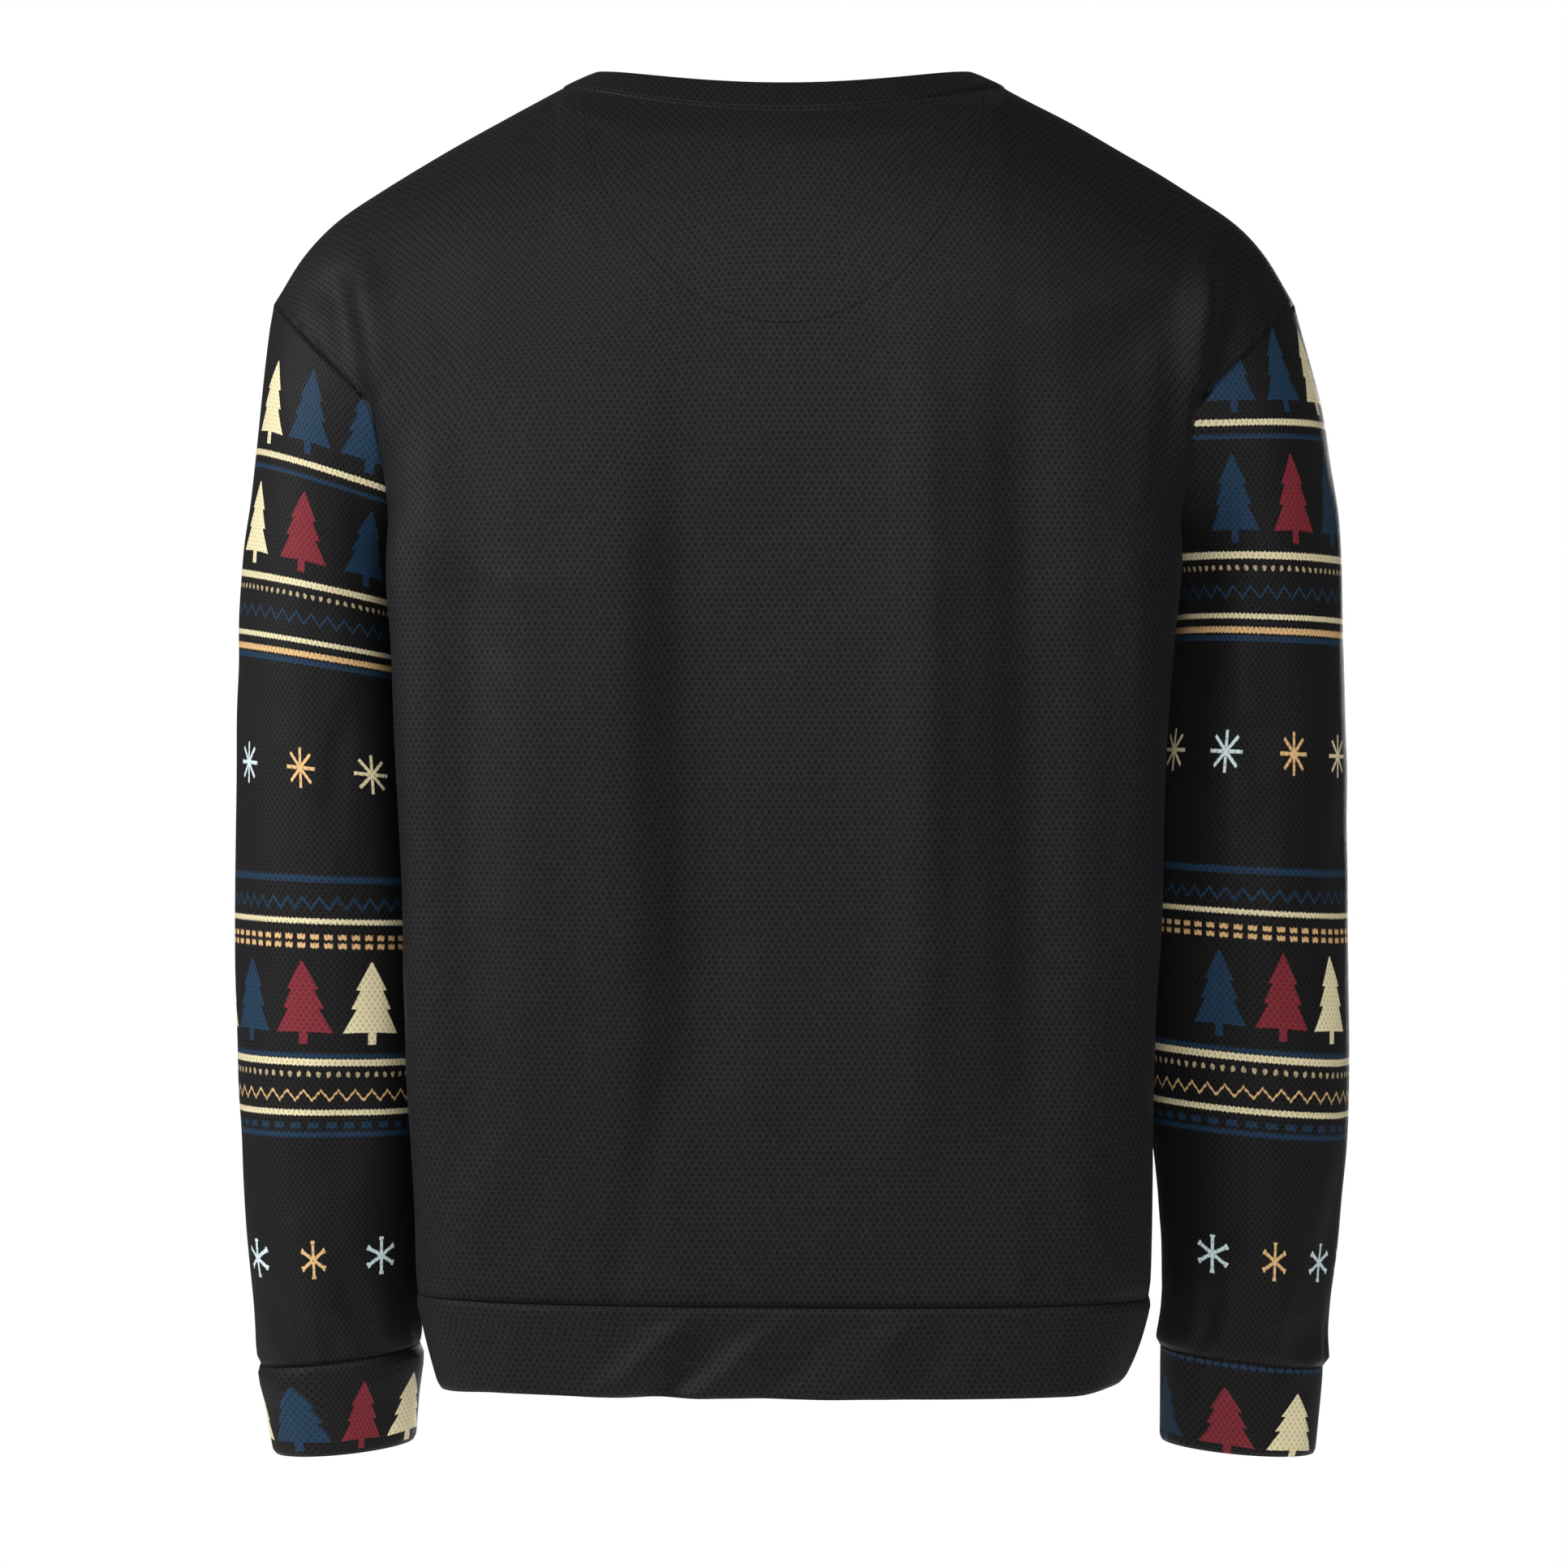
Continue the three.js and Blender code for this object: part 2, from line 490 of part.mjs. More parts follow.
function sleeveOuter(side) {
  const name = side > 0 ? 'left_sleeve' : 'right_sleeve';
  const columns = sleeveSwings().map(({ face, swing }) => {
    const stations = SLEEVE.map((ring) => ringPoint(ring, side, face, swing));
    stations.unshift(armholePoint(face, side, swing));
    return new THREE.CatmullRomCurve3(stations).getSpacedPoints(SLEEVE_ROWS);
  });
  const grid = [];
  for (let j = 0; j <= SLEEVE_ROWS; j++) grid.push(columns.map((column) => column[j]));
  const outward = outwardNormals(grid, true, toRingMiddle(grid));
  const outer = grid.map((row, j) => {
    let around = 0;
    return row.map((point, i) => {
      around += i > 0 ? point.distanceTo(row[i - 1]) : 0;
      const fromOuter = i <= AROUND_SLEEVE / 2 ? around : around - girth(row);
      const toEnd = Math.min(point.distanceTo(grid[0][i]), point.distanceTo(grid[SLEEVE_ROWS][i]));
      const lift = ease(toEnd / FOLD_FADE) * foldHeight(name, fromOuter, point.z);
      return point.clone().addScaledVector(outward[j][i], lift);
    });
  });
  return { name, side, outer, outward: outwardNormals(outer, true, toRingMiddle(outer)) };
}

// The inner side of a sleeve. Its first ring is parted from the panels' armhole edges and turns
// in as they do.
function finishSleeve(piece, armholes) {
  const { side, outward } = piece;
  const swings = sleeveSwings();
  const partings = swings.map(({ face, row }) => armholes[side].partings[face][row]);
  const outer = piece.outer.map((ring, j) => ring.map((point, i) => (
    j === 0 ? point.clone().addScaledVector(partings[i], ARMHOLE_GAP) : point)));
  const toMiddle = toRingMiddle(outer);
  const inner = outer.map((row, j) => row.map((point, i) => {
    let way = outward[j][i].clone().negate();
    if (j === 0) way = armholes[side].ways[swings[i].face][swings[i].row];
    if (j === SLEEVE_ROWS) way = toMiddle(j, i);
    return point.clone().addScaledVector(way, CLOTH_WALL);
  }));
  return { ...piece, outer, inner };
}

// The way in at every point of an armhole, shared by the panels and the sleeve. It lies against
// their outward normals and, where they fold together, against the ways in which their cloth
// leaves the seam. partings run square to it, across the seam from the panel to the sleeve.
function armholeWays(faces, sleeve) {
  const swings = sleeveSwings();
  const edge = sleeve.side > 0 ? 2 * HALF_COLUMNS : 0;
  const last = ARMHOLE_ROWS + SHOULDER_ROWS;
  const ways = { back: [], front: [] };
  const partings = { back: [], front: [] };
  const ring = sleeve.outer[0];
  swings.forEach(({ face, row }, i) => {
    const isShared = row === 0 || row === last;
    const meeting = isShared ? faces : faces.filter((piece) => piece.face === face);
    const along = ring[(i + 1) % ring.length].clone().sub(ring[(i + ring.length - 1) % ring.length]);
    const leaving = (point) => {
      const way = point.clone().sub(ring[i]);
      return way.addScaledVector(along, -way.dot(along) / along.lengthSq()).normalize();
    };
    const { outer } = meeting[0];
    const below = outer[LEVEL_ROWS + row - 1][row === 0 ? edge : edge - sleeve.side];
    const beside = row === 0 ? below : outer[LEVEL_ROWS + row][edge - sleeve.side];
    const toPanel = leaving(below.clone().lerp(beside, 0.5));
    const toSleeve = leaving(sleeve.outer[1][i]);
    const panelNormal = vec(0, 0, 0);
    meeting.forEach((piece) => panelNormal.add(piece.outward[LEVEL_ROWS + row][edge]));
    const way = panelNormal.normalize().add(sleeve.outward[0][i]).add(toPanel).add(toSleeve);
    way.normalize().negate();
    const parting = along.cross(way).normalize();
    if (parting.dot(toSleeve.sub(toPanel)) < 0) parting.negate();
    const holders = isShared ? ['back', 'front'] : [face];
    holders.forEach((holder) => {
      ways[holder][row] = way;
      partings[holder][row] = parting;
    });
  });
  return { ways, partings };
}

// The length round a closed row.
function girth(row) {
  return row.reduce((sum, point, i) => sum + point.distanceTo(row[(i + 1) % row.length]), 0);
}

// The way from a ring's point to the ring's middle.
function toRingMiddle(grid) {
  return (j, i) => {
    const middle = grid[j].reduce((sum, point) => sum.add(point), vec(0, 0, 0));
    return middle.divideScalar(grid[j].length).sub(grid[j][i]).normalize();
  };
}

// Grid normals turned away from the middle of the ring.
function outwardNormals(grid, closed, inwardAt) {
  return gridNormals(grid, closed).map((row, j) => row.map((normal, i) => (
    normal.dot(inwardAt(j, i)) > 0 ? normal.negate() : normal)));
}

// A cuff: a doubled band that stands a little proud at its seam and narrows to a folded edge.
function buildCuff(side) {
  const name = side > 0 ? 'left_cuff' : 'right_cuff';
  const seam = SLEEVE[SLEEVE.length - 1];
  const SHAPE = [
    { share: 0, proud: 0.4 }, { share: 0.06, proud: 1.6 }, { share: 0.3, proud: 1 },
    { share: 0.65, proud: 0.8 }, { share: 0.95, proud: 0.4 }, { share: 1, proud: -0.8 },
  ];
  const swings = sleeveSwings();
  const grid = SHAPE.map(({ share, proud }) => swings.map(({ face, swing }) => {
    const top = ringPoint(seam, side, face, swing);
    const edge = ringPoint(CUFF_EDGE, side, face, swing);
    const middle = ringPoint(seam, side, face, -90).lerp(ringPoint(seam, side, face, 90), 0.5);
    const out = top.clone().sub(middle).normalize();
    const gap = (SEAM_GAP * (1 - share)) / CUFF_HEIGHT;
    return top.lerp(edge, Math.max(share, gap)).addScaledVector(out, proud);
  }));
  const toMiddle = toRingMiddle(grid);
  const inner = grid.map((row, j) => row.map((point, i) => (
    point.clone().addScaledVector(toMiddle(j, i), BAND_WALL))));
  return { name, outer: grid, inner };
}

// ---------- hem band and neckband ----------
function buildHemBand() {
  const name = 'hem_band';
  const SHAPE = [
    { z: HEM_SEAM_Z - SEAM_GAP, proud: 0.2 }, { z: HEM_SEAM_Z - 3, proud: BAND_PROUD + 0.6 },
    { z: -666, proud: BAND_PROUD }, { z: -682, proud: BAND_PROUD * 0.6 },
    { z: HEM_EDGE_Z + 3, proud: 0.4 }, { z: HEM_EDGE_Z, proud: -0.8 },
  ];
  const grid = SHAPE.map(({ z }) => {
    const half = (face, side) => levelHalfRow(face, side, z);
    return [
      ...half('back', 1).slice(0, -1), ...half('front', 1).reverse().slice(0, -1),
      ...half('front', -1).slice(0, -1), ...half('back', -1).reverse().slice(0, -1),
    ];
  });
  const inRing = (j, i) => vec(TORSO[0].shift - grid[j][i].x, -grid[j][i].y, 0);
  const outward = outwardNormals(grid, true, inRing);
  outward.forEach((row) => row.forEach((normal) => normal.setZ(0).normalize()));
  const outer = grid.map((row, j) => row.map((point, i) => {
    const share = (HEM_SEAM_Z - point.z) / (HEM_SEAM_Z - HEM_EDGE_Z);
    const onBack = point.y > 0 ? 1 : 0;
    const lift = onBack * ease(share / 0.3) * foldHeight(name, point.x, point.z);
    return point.clone().addScaledVector(outward[j][i], SHAPE[j].proud + lift);
  }));
  const inner = outer.map((row, j) => row.map((point, i) => (
    point.clone().addScaledVector(outward[j][i], -BAND_WALL))));
  return { name, outer, inner };
}

function buildNeckband() {
  const name = 'neckband';
  const SHAPE = [
    { share: 0.02, proud: 0 }, { share: 0.25, proud: 1.1 }, { share: 0.7, proud: 1 }, { share: 1, proud: -0.4 },
  ];
  const turns = [];
  for (let k = 0; k < 4 * NECK_COLUMNS; k++) {
    const quarter = Math.floor(k / NECK_COLUMNS);
    const within = (90 * (k % NECK_COLUMNS)) / NECK_COLUMNS;
    const turn = quarter % 2 ? 90 - within : within;
    turns.push({ face: quarter === 0 || quarter === 3 ? 'back' : 'front', side: quarter < 2 ? 1 : -1, turn });
  }
  const ways = turns.map(({ face, side, turn }) => neckInward(face, side, turn));
  const outer = SHAPE.map(({ share, proud }) => turns.map(({ face, side, turn }, i) => {
    const seam = neckPoint(NECK_SEAM, face, side, turn);
    const edge = neckPoint(NECK_EDGE, face, side, turn);
    return seam.lerp(edge, share).addScaledVector(ways[i], -proud);
  }));
  const inner = outer.map((row) => row.map((point, i) => (
    point.clone().addScaledVector(ways[i], BAND_WALL))));
  return { name, outer, inner };
}

// ---------- half-moon facing ----------
// Finds where (x, z) of the back view lies on a grid, between its columns and rows.
function findOnGrid(grid, x, z) {
  let column = HALF_COLUMNS;
  let row = grid.length - 2;
  for (let pass = 0; pass < 30; pass++) {
    const here = sampleGrid(grid, row, column);
    const stepX = sampleGrid(grid, row, column + 0.5).x - sampleGrid(grid, row, column - 0.5).x;
    const stepZ = sampleGrid(grid, row + 0.25, column).z - sampleGrid(grid, row - 0.25, column).z;
    column = THREE.MathUtils.clamp(column + 0.8 * (x - here.x) / stepX, 1, 2 * HALF_COLUMNS - 1);
    row = THREE.MathUtils.clamp(row + 0.4 * (z - here.z) / stepZ, 1, grid.length - 1.25);
  }
  return { row, column };
}

// A point on a grid between its rows and columns.
function sampleGrid(grid, row, column) {
  const j = Math.min(Math.floor(row), grid.length - 2);
  const i = Math.min(Math.floor(column), grid[0].length - 2);
  const above = grid[j][i].clone().lerp(grid[j][i + 1], column - i);
  const below = grid[j + 1][i].clone().lerp(grid[j + 1][i + 1], column - i);
  return above.lerp(below, row - j);
}

// A thin half moon of cloth inside the back panel. Its columns run from the neck seam down to a
// half ellipse, each point taken from the panel's inner side and moved in.
function buildHalfMoon(panel) {
  const { halfWidth, drop, topClear, columns, rows, end } = HALF_MOON;
  const layer = (depth) => {
    const grid = [];
    for (let j = 0; j <= rows; j++) {
      grid.push(Array.from({ length: columns + 1 }, (_, i) => {
        const across = end * Math.sin(degToRad(lerp(-90, 90, i / columns)));
        const x = halfWidth * across;
        const neckZ = lerp(NECK_SEAM.backZ, NECK_SEAM.sideZ, (x / NECK_SEAM.halfWidth) ** 2);
        const topZ = neckZ - CLOTH_WALL - topClear;
        const z = topZ - drop * Math.sqrt(1 - across ** 2) * (1 - j / rows);
        const { row, column } = findOnGrid(panel.inner, x, z);
        const way = sampleGrid(panel.inward, row, column).normalize();
        return sampleGrid(panel.inner, row, column).addScaledVector(way, depth);
      }));
    }
    return grid;
  };
  const seat = SEAM_GAP + 0.2;
  return { name: 'half_moon_facing', outer: layer(seat), inner: layer(seat + FACING_WALL) };
}

// ---------- assembly ----------
function clothMesh(name, geometry, look) {
  const mesh = new THREE.Mesh(geometry, new THREE.MeshStandardMaterial(look));
  mesh.name = name;
  return mesh;
}

const faces = [faceOuter('back'), faceOuter('front')];
const sleeves = [sleeveOuter(1), sleeveOuter(-1)];
const armholes = Object.fromEntries(sleeves.map((sleeve) => [sleeve.side, armholeWays(faces, sleeve)]));
const [back, front] = faces.map((piece) => finishFace(piece, armholes));
const tubes = sleeves.map((piece) => finishSleeve(piece, armholes));
tubes.push(buildCuff(1), buildCuff(-1));
const bands = [buildHemBand(), buildNeckband()];

const sweatshirt = new THREE.Group();
for (const piece of [back, front, buildHalfMoon(back)]) {
  sweatshirt.add(clothMesh(piece.name, wallGeometry(piece.outer, piece.inner, false), BLACK_CLOTH));
}
for (const piece of tubes) {
  sweatshirt.add(clothMesh(piece.name, wallGeometry(piece.outer, piece.inner, true), SLEEVE_CLOTH));
}
for (const piece of bands) {
  sweatshirt.add(clothMesh(piece.name, wallGeometry(piece.outer, piece.inner, true), BLACK_CLOTH));
}

export default sweatshirt;
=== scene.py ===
"""Christmas sweatshirt: cloth surfaces, printed bands, stitching and studio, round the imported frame.

Tables are in millimetres, as in the CAD, and every mesh is made in metres. +Z is up, +Y is the
back and +X is the wearer's left.
"""

import math

import bpy
import numpy as np
from mathutils import Matrix


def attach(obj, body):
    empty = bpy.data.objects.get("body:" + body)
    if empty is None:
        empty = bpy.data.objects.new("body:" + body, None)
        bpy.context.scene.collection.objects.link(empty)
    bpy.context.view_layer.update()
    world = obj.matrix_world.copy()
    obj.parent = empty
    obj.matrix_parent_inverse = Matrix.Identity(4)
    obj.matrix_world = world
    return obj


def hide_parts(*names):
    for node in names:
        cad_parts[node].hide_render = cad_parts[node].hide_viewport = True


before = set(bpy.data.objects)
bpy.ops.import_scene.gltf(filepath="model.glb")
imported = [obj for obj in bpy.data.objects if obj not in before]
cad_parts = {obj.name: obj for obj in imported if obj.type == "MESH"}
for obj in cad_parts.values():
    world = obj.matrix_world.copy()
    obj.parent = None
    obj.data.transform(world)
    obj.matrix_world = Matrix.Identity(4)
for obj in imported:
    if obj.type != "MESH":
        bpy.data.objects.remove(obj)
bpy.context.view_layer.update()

# ---------- sizes ----------
METRE = 1000.0
CLOTH_WALL = 2.0
BAND_WALL = 3.0
FACING_WALL = 1.2
FACING_GAP = 0.5
HEM_SEAM_Z = -651.0
HEM_EDGE_Z = -699.0
# Rows and columns of the cloth grids: the CAD's counts, each split in DENSITY parts.
DENSITY = 5
HALF_COLUMNS = 16 * DENSITY
NECK_COLUMNS = 7 * DENSITY
LEVEL_ROWS = 13 * DENSITY
ARMHOLE_ROWS = 6 * DENSITY
SHOULDER_ROWS = 8 * DENSITY
SLEEVE_ROWS = 26 * DENSITY
BAND_ROWS = 24
FACING_COLUMNS = 70
FACING_ROWS = 48
# Passes that even out the bend at the armhole, and steps that find the facing's place on the back.
EVENING_PASSES = 60
SEARCH_STEPS = 40
# The distance given where no seam is near.
FAR = 99.0
# Half width and half depth of the upright ellipse that the sleeve print is laid round.
GIRTH_HALF = {"width": 48, "depth": 57}
# Degrees by which its table of distances runs past a full turn at each end.
SPARE_TURN = 60
# X of the sleeve's outer line, where the print's levels are read.
OUTER_LINE_X = 300


def table(columns, *rows):
    """Named columns of a short table, as arrays."""
    return dict(zip(columns.split(), np.array(rows, float).T))


# Torso sections from the hem up. shift: towards the wearer's left; inset: of the side seam inside
# the widest point; cornerY: where that point lies; frontTuck: how much narrower the front is.
TORSO = table(
    "z halfWidth shift inset cornerY frontTuck back front twist",
    (-699, 189.5, -2.5, 1, 40, 0, 101, 102, -3),
    (-651, 195, -1.5, 2, 45, 1, 104, 105, -3),
    (-602, 197, -1.6, 6, 52, 3, 106, 107, -2.6),
    (-522, 198.6, 0.8, 12, 58, 7, 108, 109, -1.4),
    (-433, 202, 1.3, 16, 60, 9, 110, 111, -0.4),
    (-364, 204.2, 2, 17, 61, 8, 111, 112, 0),
    (-313, 207, 1.5, 17, 62, 6, 111, 113, 0),
    (-266, 211.8, 0, 17, 62, 4, 110, 113, 0),
    (-246, 212.6, 0, 17, 62, 4, 109, 113, 0),
    (-190, 216, 0, 17, 62, 4, 108, 112, 0),
    (-140, 218, 0, 17, 62, 4, 105, 108, 0),
)
SECTION_SQUARENESS = 2.6
SHOULDER_TIP = {"x": 278, "z": -117}
ARM_CREASE = {"x": 218.5, "z": -176.6, "back": 64, "front": 60}
UNDERARM = {"x": 203, "z": -246}
UNDERARM_ARCH_HEIGHT = 10
BLADE = {"back": -140, "front": -176, "turn": 68}
# The shoulder ridge, from the neck seam to the shoulder's tip.
RIDGE = table("x z", (121, 0), (150, -15.5), (185, -34.5), (220, -55.5), (244, -72), (262, -91), (278, -117))
NECK_SEAM = dict(halfWidth=121, sideZ=0, back=72, backZ=-22.5, front=86, frontZ=-86, frontRound=1.4)
NECK_EDGE = dict(halfWidth=102, sideZ=9.2, back=58, backZ=-4.9, front=76, frontZ=-63, frontRound=1.4)
NECK_TURN = {"back": 60, "front": 42}

# Sleeve rings: outer and inner point, how far the middle lies behind the side seam, half depth,
# and how much further out the right sleeve hangs.
SLEEVE = table(
    "outX outZ inX inZ y halfDepth splayOut splayIn",
    (282, -150, 209.5, -256, -2, 62, 5, 1),
    (287, -190, 211, -278, -5, 61, 9.5, 3),
    (293, -240, 208, -312, -8, 60, 10, 4),
    (297.3, -300, 202, -352, -10, 59, 9, 5),
    (300, -365, 197, -398, -11, 58, 8, 5),
    (301.3, -430, 194, -446, -12, 57, 8, 5),
    (300, -500, 194, -502, -14, 55, 10.5, 5),
    (298.3, -560, 196, -556, -17, 53, 11.5, 5),
    (296, -618, 199, -608, -21, 50, 10.5, 7),
    (291.5, -666, 201, -655, -24, 46, 10, 7.5),
    (288.5, -698, 201.5, -687.5, -26, 42, 9.5, 6),
)
CUFF_EDGE = table("outX outZ inX inZ y halfDepth splayOut splayIn", (281.5, -747, 204, -740, -28, 37, 12, 4))
# The wearer's sides, by the sign of X.
WORDS = {1: "left", -1: "right"}
# How far the sleeve swells over its cuff, by side.
SLEEVE_SWELL = {1: 0.4, -1: 1.8}
# How proud each doubled band stands of its seam, from the tuck under the next cloth to the folded
# edge: by the share of the depth on cuffs and neckband, and by the level on the hem.
CUFF_ROLL = table(
    "share left right",
    (-0.014, -1.4, -1.8), (0.006, 0.7, -0.6), (0.09, 2.4, -0.4), (0.22, 2.4, -0.2), (0.5, 1.0, 0),
    (0.95, 0.4, 0.2), (1, -0.8, -0.8),
)
HEM_ROLL = table("down proud", (650.3, -1.4), (651.3, 0.6), (655, 1.4), (666, 0.8), (682, 0.5), (696, 0.4),
                 (699, -0.8))
# The hem's lower corners: where they begin, and how far their cloth moves along +X and up.
HEM_CORNER = dict(x=150, reach=42, rightX=9, rightUp=3.5, leftX=-4, leftUp=-2.5)
NECK_ROLL = table("share proud", (-0.03, -1.5), (0.012, 0.4), (0.09, 1.1), (0.3, 1.2), (0.7, 1), (0.92, 0.6),
                  (1, -0.4))
HALF_MOON = dict(halfWidth=107, drop=116, topClear=1.2, end=0.985)
# How fast the neck seam rises from the middle of the back, by the square of x, in metres.
NECK_SEAM_RISE = 1.54


def folds(*rows):
    """Folds from (p0, q0) to (p1, q1), bowed in the middle; a trough has a negative height.

    reach is the half width. p is X on the body and hem, and the way round on a sleeve; q is Z.
    """
    return table("p0 q0 p1 q1 bow reach height", *rows)


# The main folds, as in the CAD.
FOLDS = {
    "back_panel": folds(
        (118, -110, 128, -610, 6, 34, 5), (-92, -120, -84, -600, -8, 34, 5),
        (20, -180, 34, -560, 5, 30, -4), (229, -92, 209, -214, 3, 15, 4.5),
        (248, -98, 226, -176, 5, 13, -4.5), (-226, -94, -210, -205, 3, 16, 3.5),
        (-247, -104, -226, -172, -4, 14, -3),
    ),
    "front_panel": folds(
        (205, -110, 165, -250, 8, 18, 5), (-207, -112, -160, -262, -8, 18, 5),
        (95, -300, 120, -640, 10, 34, 5), (-104, -330, -92, -630, -8, 36, 4),
        (0, -260, -14, -600, 6, 32, -4),
    ),
    "hem_band": folds(
        (54, -654, 96, -706, 3, 9, 2.4), (36, -652, 80, -712, 2, 8, -2.4),
        (-42, -654, -64, -712, 3, 12, 1.6),
    ),
    "left_sleeve": folds(
        (60, -600, 74, -684, 4, 12, 3), (112, -520, 84, -610, 6, 16, -3),
        (-96, -420, -50, -490, 8, 18, -4), (-112, -450, -60, -540, 8, 18, 4),
    ),
    "right_sleeve": folds(
        (88, -610, 60, -690, 4, 12, 3), (104, -260, 84, -380, 6, 18, -3),
        (-94, -430, -48, -500, 8, 18, -4), (-110, -470, -62, -560, 8, 18, 4),
    ),
}
# Smaller creases, in the same columns.
CREASES = {
    "back_panel": folds(
        (-26, -250, -16, -520, 5, 13, -0.8), (164, -190, 160, -640, -4, 18, -5.0),
        (94, -150, 84, -670, 5, 21, 7.0), (48, -60, 38, -650, -6, 17, -4.2),
        (-68, -70, -64, -640, 4, 15, 4.6), (-120, -100, -128, -620, 4, 18, -4.6),
        (-182, -225, -190, -520, 4, 12, 2.4), (20, -300, 12, -600, 3, 10, 1.2),
        (60, -500, 92, -668, 3, 10, -3.0), (112, -560, 128, -668, 3, 10, 1.6),
        (230, -88, 208, -222, 3, 10, 3.0), (204, -84, 190, -262, 4, 15, 2.0),
        (246, -92, 232, -168, 2, 10, -1.6), (-226, -78, -203, -250, 3, 9, 6.0),
        (-246, -88, -226, -172, 3, 11, -3.4), (-194, -120, -186, -250, 3, 9, 1.5),
        (196, -225, 120, -282, -9, 10, 1.5), (190, -252, 128, -320, -9, 9, -1.2),
        (-222, -100, -118, -136, 6, 10, 1.9), (-212, -128, -138, -164, 6, 10, -1.0),
        (150, -560, 188, -655, 6, 12, 1.6), (-150, -565, -184, -655, -6, 13, 1.5),
        (30, -590, 8, -655, 4, 9, 1.0), (-60, -595, -44, -655, 3, 9, -0.9),
        (98, -598, 84, -655, 3, 8, -0.9),
    ),
    "front_panel": folds(
        (30, -300, 44, -560, 6, 14, -1.3), (-58, -280, -48, -540, -6, 13, 1.1),
        (160, -280, 150, -580, 8, 18, -2.0), (-160, -290, -148, -560, -8, 18, -1.8),
        (190, -215, 110, -285, 9, 10, 1.6), (-190, -215, -112, -280, -9, 10, 1.5),
        (148, -565, 186, -655, 6, 12, 1.5), (-152, -570, -184, -655, -6, 13, 1.5),
        (10, -590, 32, -655, 3, 9, -1.0),
    ),
    "hem_band": folds(
        (38, -640, 128, -716, 8, 9, 2.8), (12, -640, 102, -722, 8, 9, -3.0),
        (-12, -640, 78, -722, 6, 6, 2.6), (-40, -644, 44, -722, 6, 7, -2.6),
        (-72, -646, 4, -720, 5, 8, 2.0), (-96, -648, -40, -720, 5, 8, -1.8),
        (134, -652, 158, -706, 3, 9, 0.8),
    ),
    "left_sleeve": folds(
        (30, -380, 58, -520, 8, 14, -1.6), (74, -330, 92, -470, -7, 13, 1.6),
        (20, -560, 44, -668, 5, 10, 1.5), (40, -640, 46, -694, 3, 7, -1.4),
        (88, -625, 84, -694, 3, 7, -1.4), (106, -640, 100, -692, 2, 7, 1.4),
        (14, -220, 40, -330, 6, 14, 1.6), (118, -330, 96, -420, 5, 10, -1.6),
        (-30, -330, -60, -470, 7, 14, 1.6), (-40, -560, -60, -680, 5, 11, -1.5),
    ),
    "right_sleeve": folds(
        (26, -360, 54, -500, 8, 14, -1.6), (72, -400, 90, -540, -7, 13, 1.6),
        (22, -570, 46, -672, 5, 10, -1.5), (64, -628, 56, -694, 3, 7, 1.6),
        (96, -620, 84, -694, 3, 7, 1.4), (104, -648, 98, -694, 2, 6, -1.4),
        (12, -200, 44, -320, 6, 14, 1.6), (116, -340, 98, -430, 5, 10, -1.6),
        (-32, -340, -62, -480, 7, 14, 1.6), (-42, -570, -62, -684, 5, 11, -1.5),
    ),
    "left_cuff": folds(
        (40, -694, 44, -745, 2, 7, 0.8), (84, -694, 80, -742, 2, 7, -0.8),
        (100, -692, 98, -740, 2, 6, 0.7),
    ),
    "right_cuff": folds(
        (36, -696, 40, -745, 2, 7, -0.8), (60, -694, 62, -742, 2, 7, 0.9),
        (92, -692, 90, -740, 2, 6, -0.8),
    ),
}
# How far from a piece's edge its main folds reach their full height, and its creases on body,
# sleeve and cuff.
FOLD_FADE = 28.0
BODY_CREASE_FADE = 12.0
SLEEVE_CREASE_FADE = 14.0
# How far the gathers reach above the hem's seam, and above the cuffs'.
HEM_GATHER_REACH = 60.0
CUFF_GATHER_REACH = 44.0


# ---------- small tools ----------
def lerp(a, b, t):
    """From a (t = 0) to b (t = 1), in a straight line."""
    return a + (b - a) * t


def ease(t):
    """0 to 1 with level ends: 3 t squared less 2 t cubed."""
    t = np.clip(t, 0, 1)
    return t * t * (3 - 2 * t)


def points(x, y, z):
    """Coordinates, some of them plain numbers, as an array of points."""
    return np.stack(np.broadcast_arrays(np.asarray(x, float), y, z), axis=-1)


def length(vectors):
    """The length of each vector, kept as a last axis of one."""
    return np.linalg.norm(vectors, axis=-1, keepdims=True)


def unit(vectors):
    """Each vector over its length."""
    return vectors / np.maximum(length(vectors), 1e-9)


def read_table(rows, key, at):
    """Each other column at a level: a Hermite curve through the rows."""
    keys = rows[key]
    at = np.clip(at, keys[0], keys[-1])
    k = np.clip(np.searchsorted(keys, at) - 1, 0, len(keys) - 2)
    span = keys[k + 1] - keys[k]
    t = (at - keys[k]) / span
    before = np.maximum(np.arange(len(keys)) - 1, 0)
    after = np.minimum(np.arange(len(keys)) + 1, len(keys) - 1)
    result = {}
    for name, values in rows.items():
        slope = (values[after] - values[before]) / (keys[after] - keys[before])
        rise = 3 * t**2 - 2 * t**3
        leave = (t**3 - 2 * t**2 + t) * span * slope[k]
        arrive = (t**3 - t**2) * span * slope[k + 1]
        result[name] = values[k] + (values[k + 1] - values[k]) * rise + leave + arrive
    return result


def spread(line, shares):
    """Points of a polyline at shares of its length."""
    steps = np.r_[0, np.cumsum(length(np.diff(line, axis=0))[:, 0])]
    return np.stack([np.interp(shares * steps[-1], steps, line[:, axis]) for axis in range(3)], axis=-1)


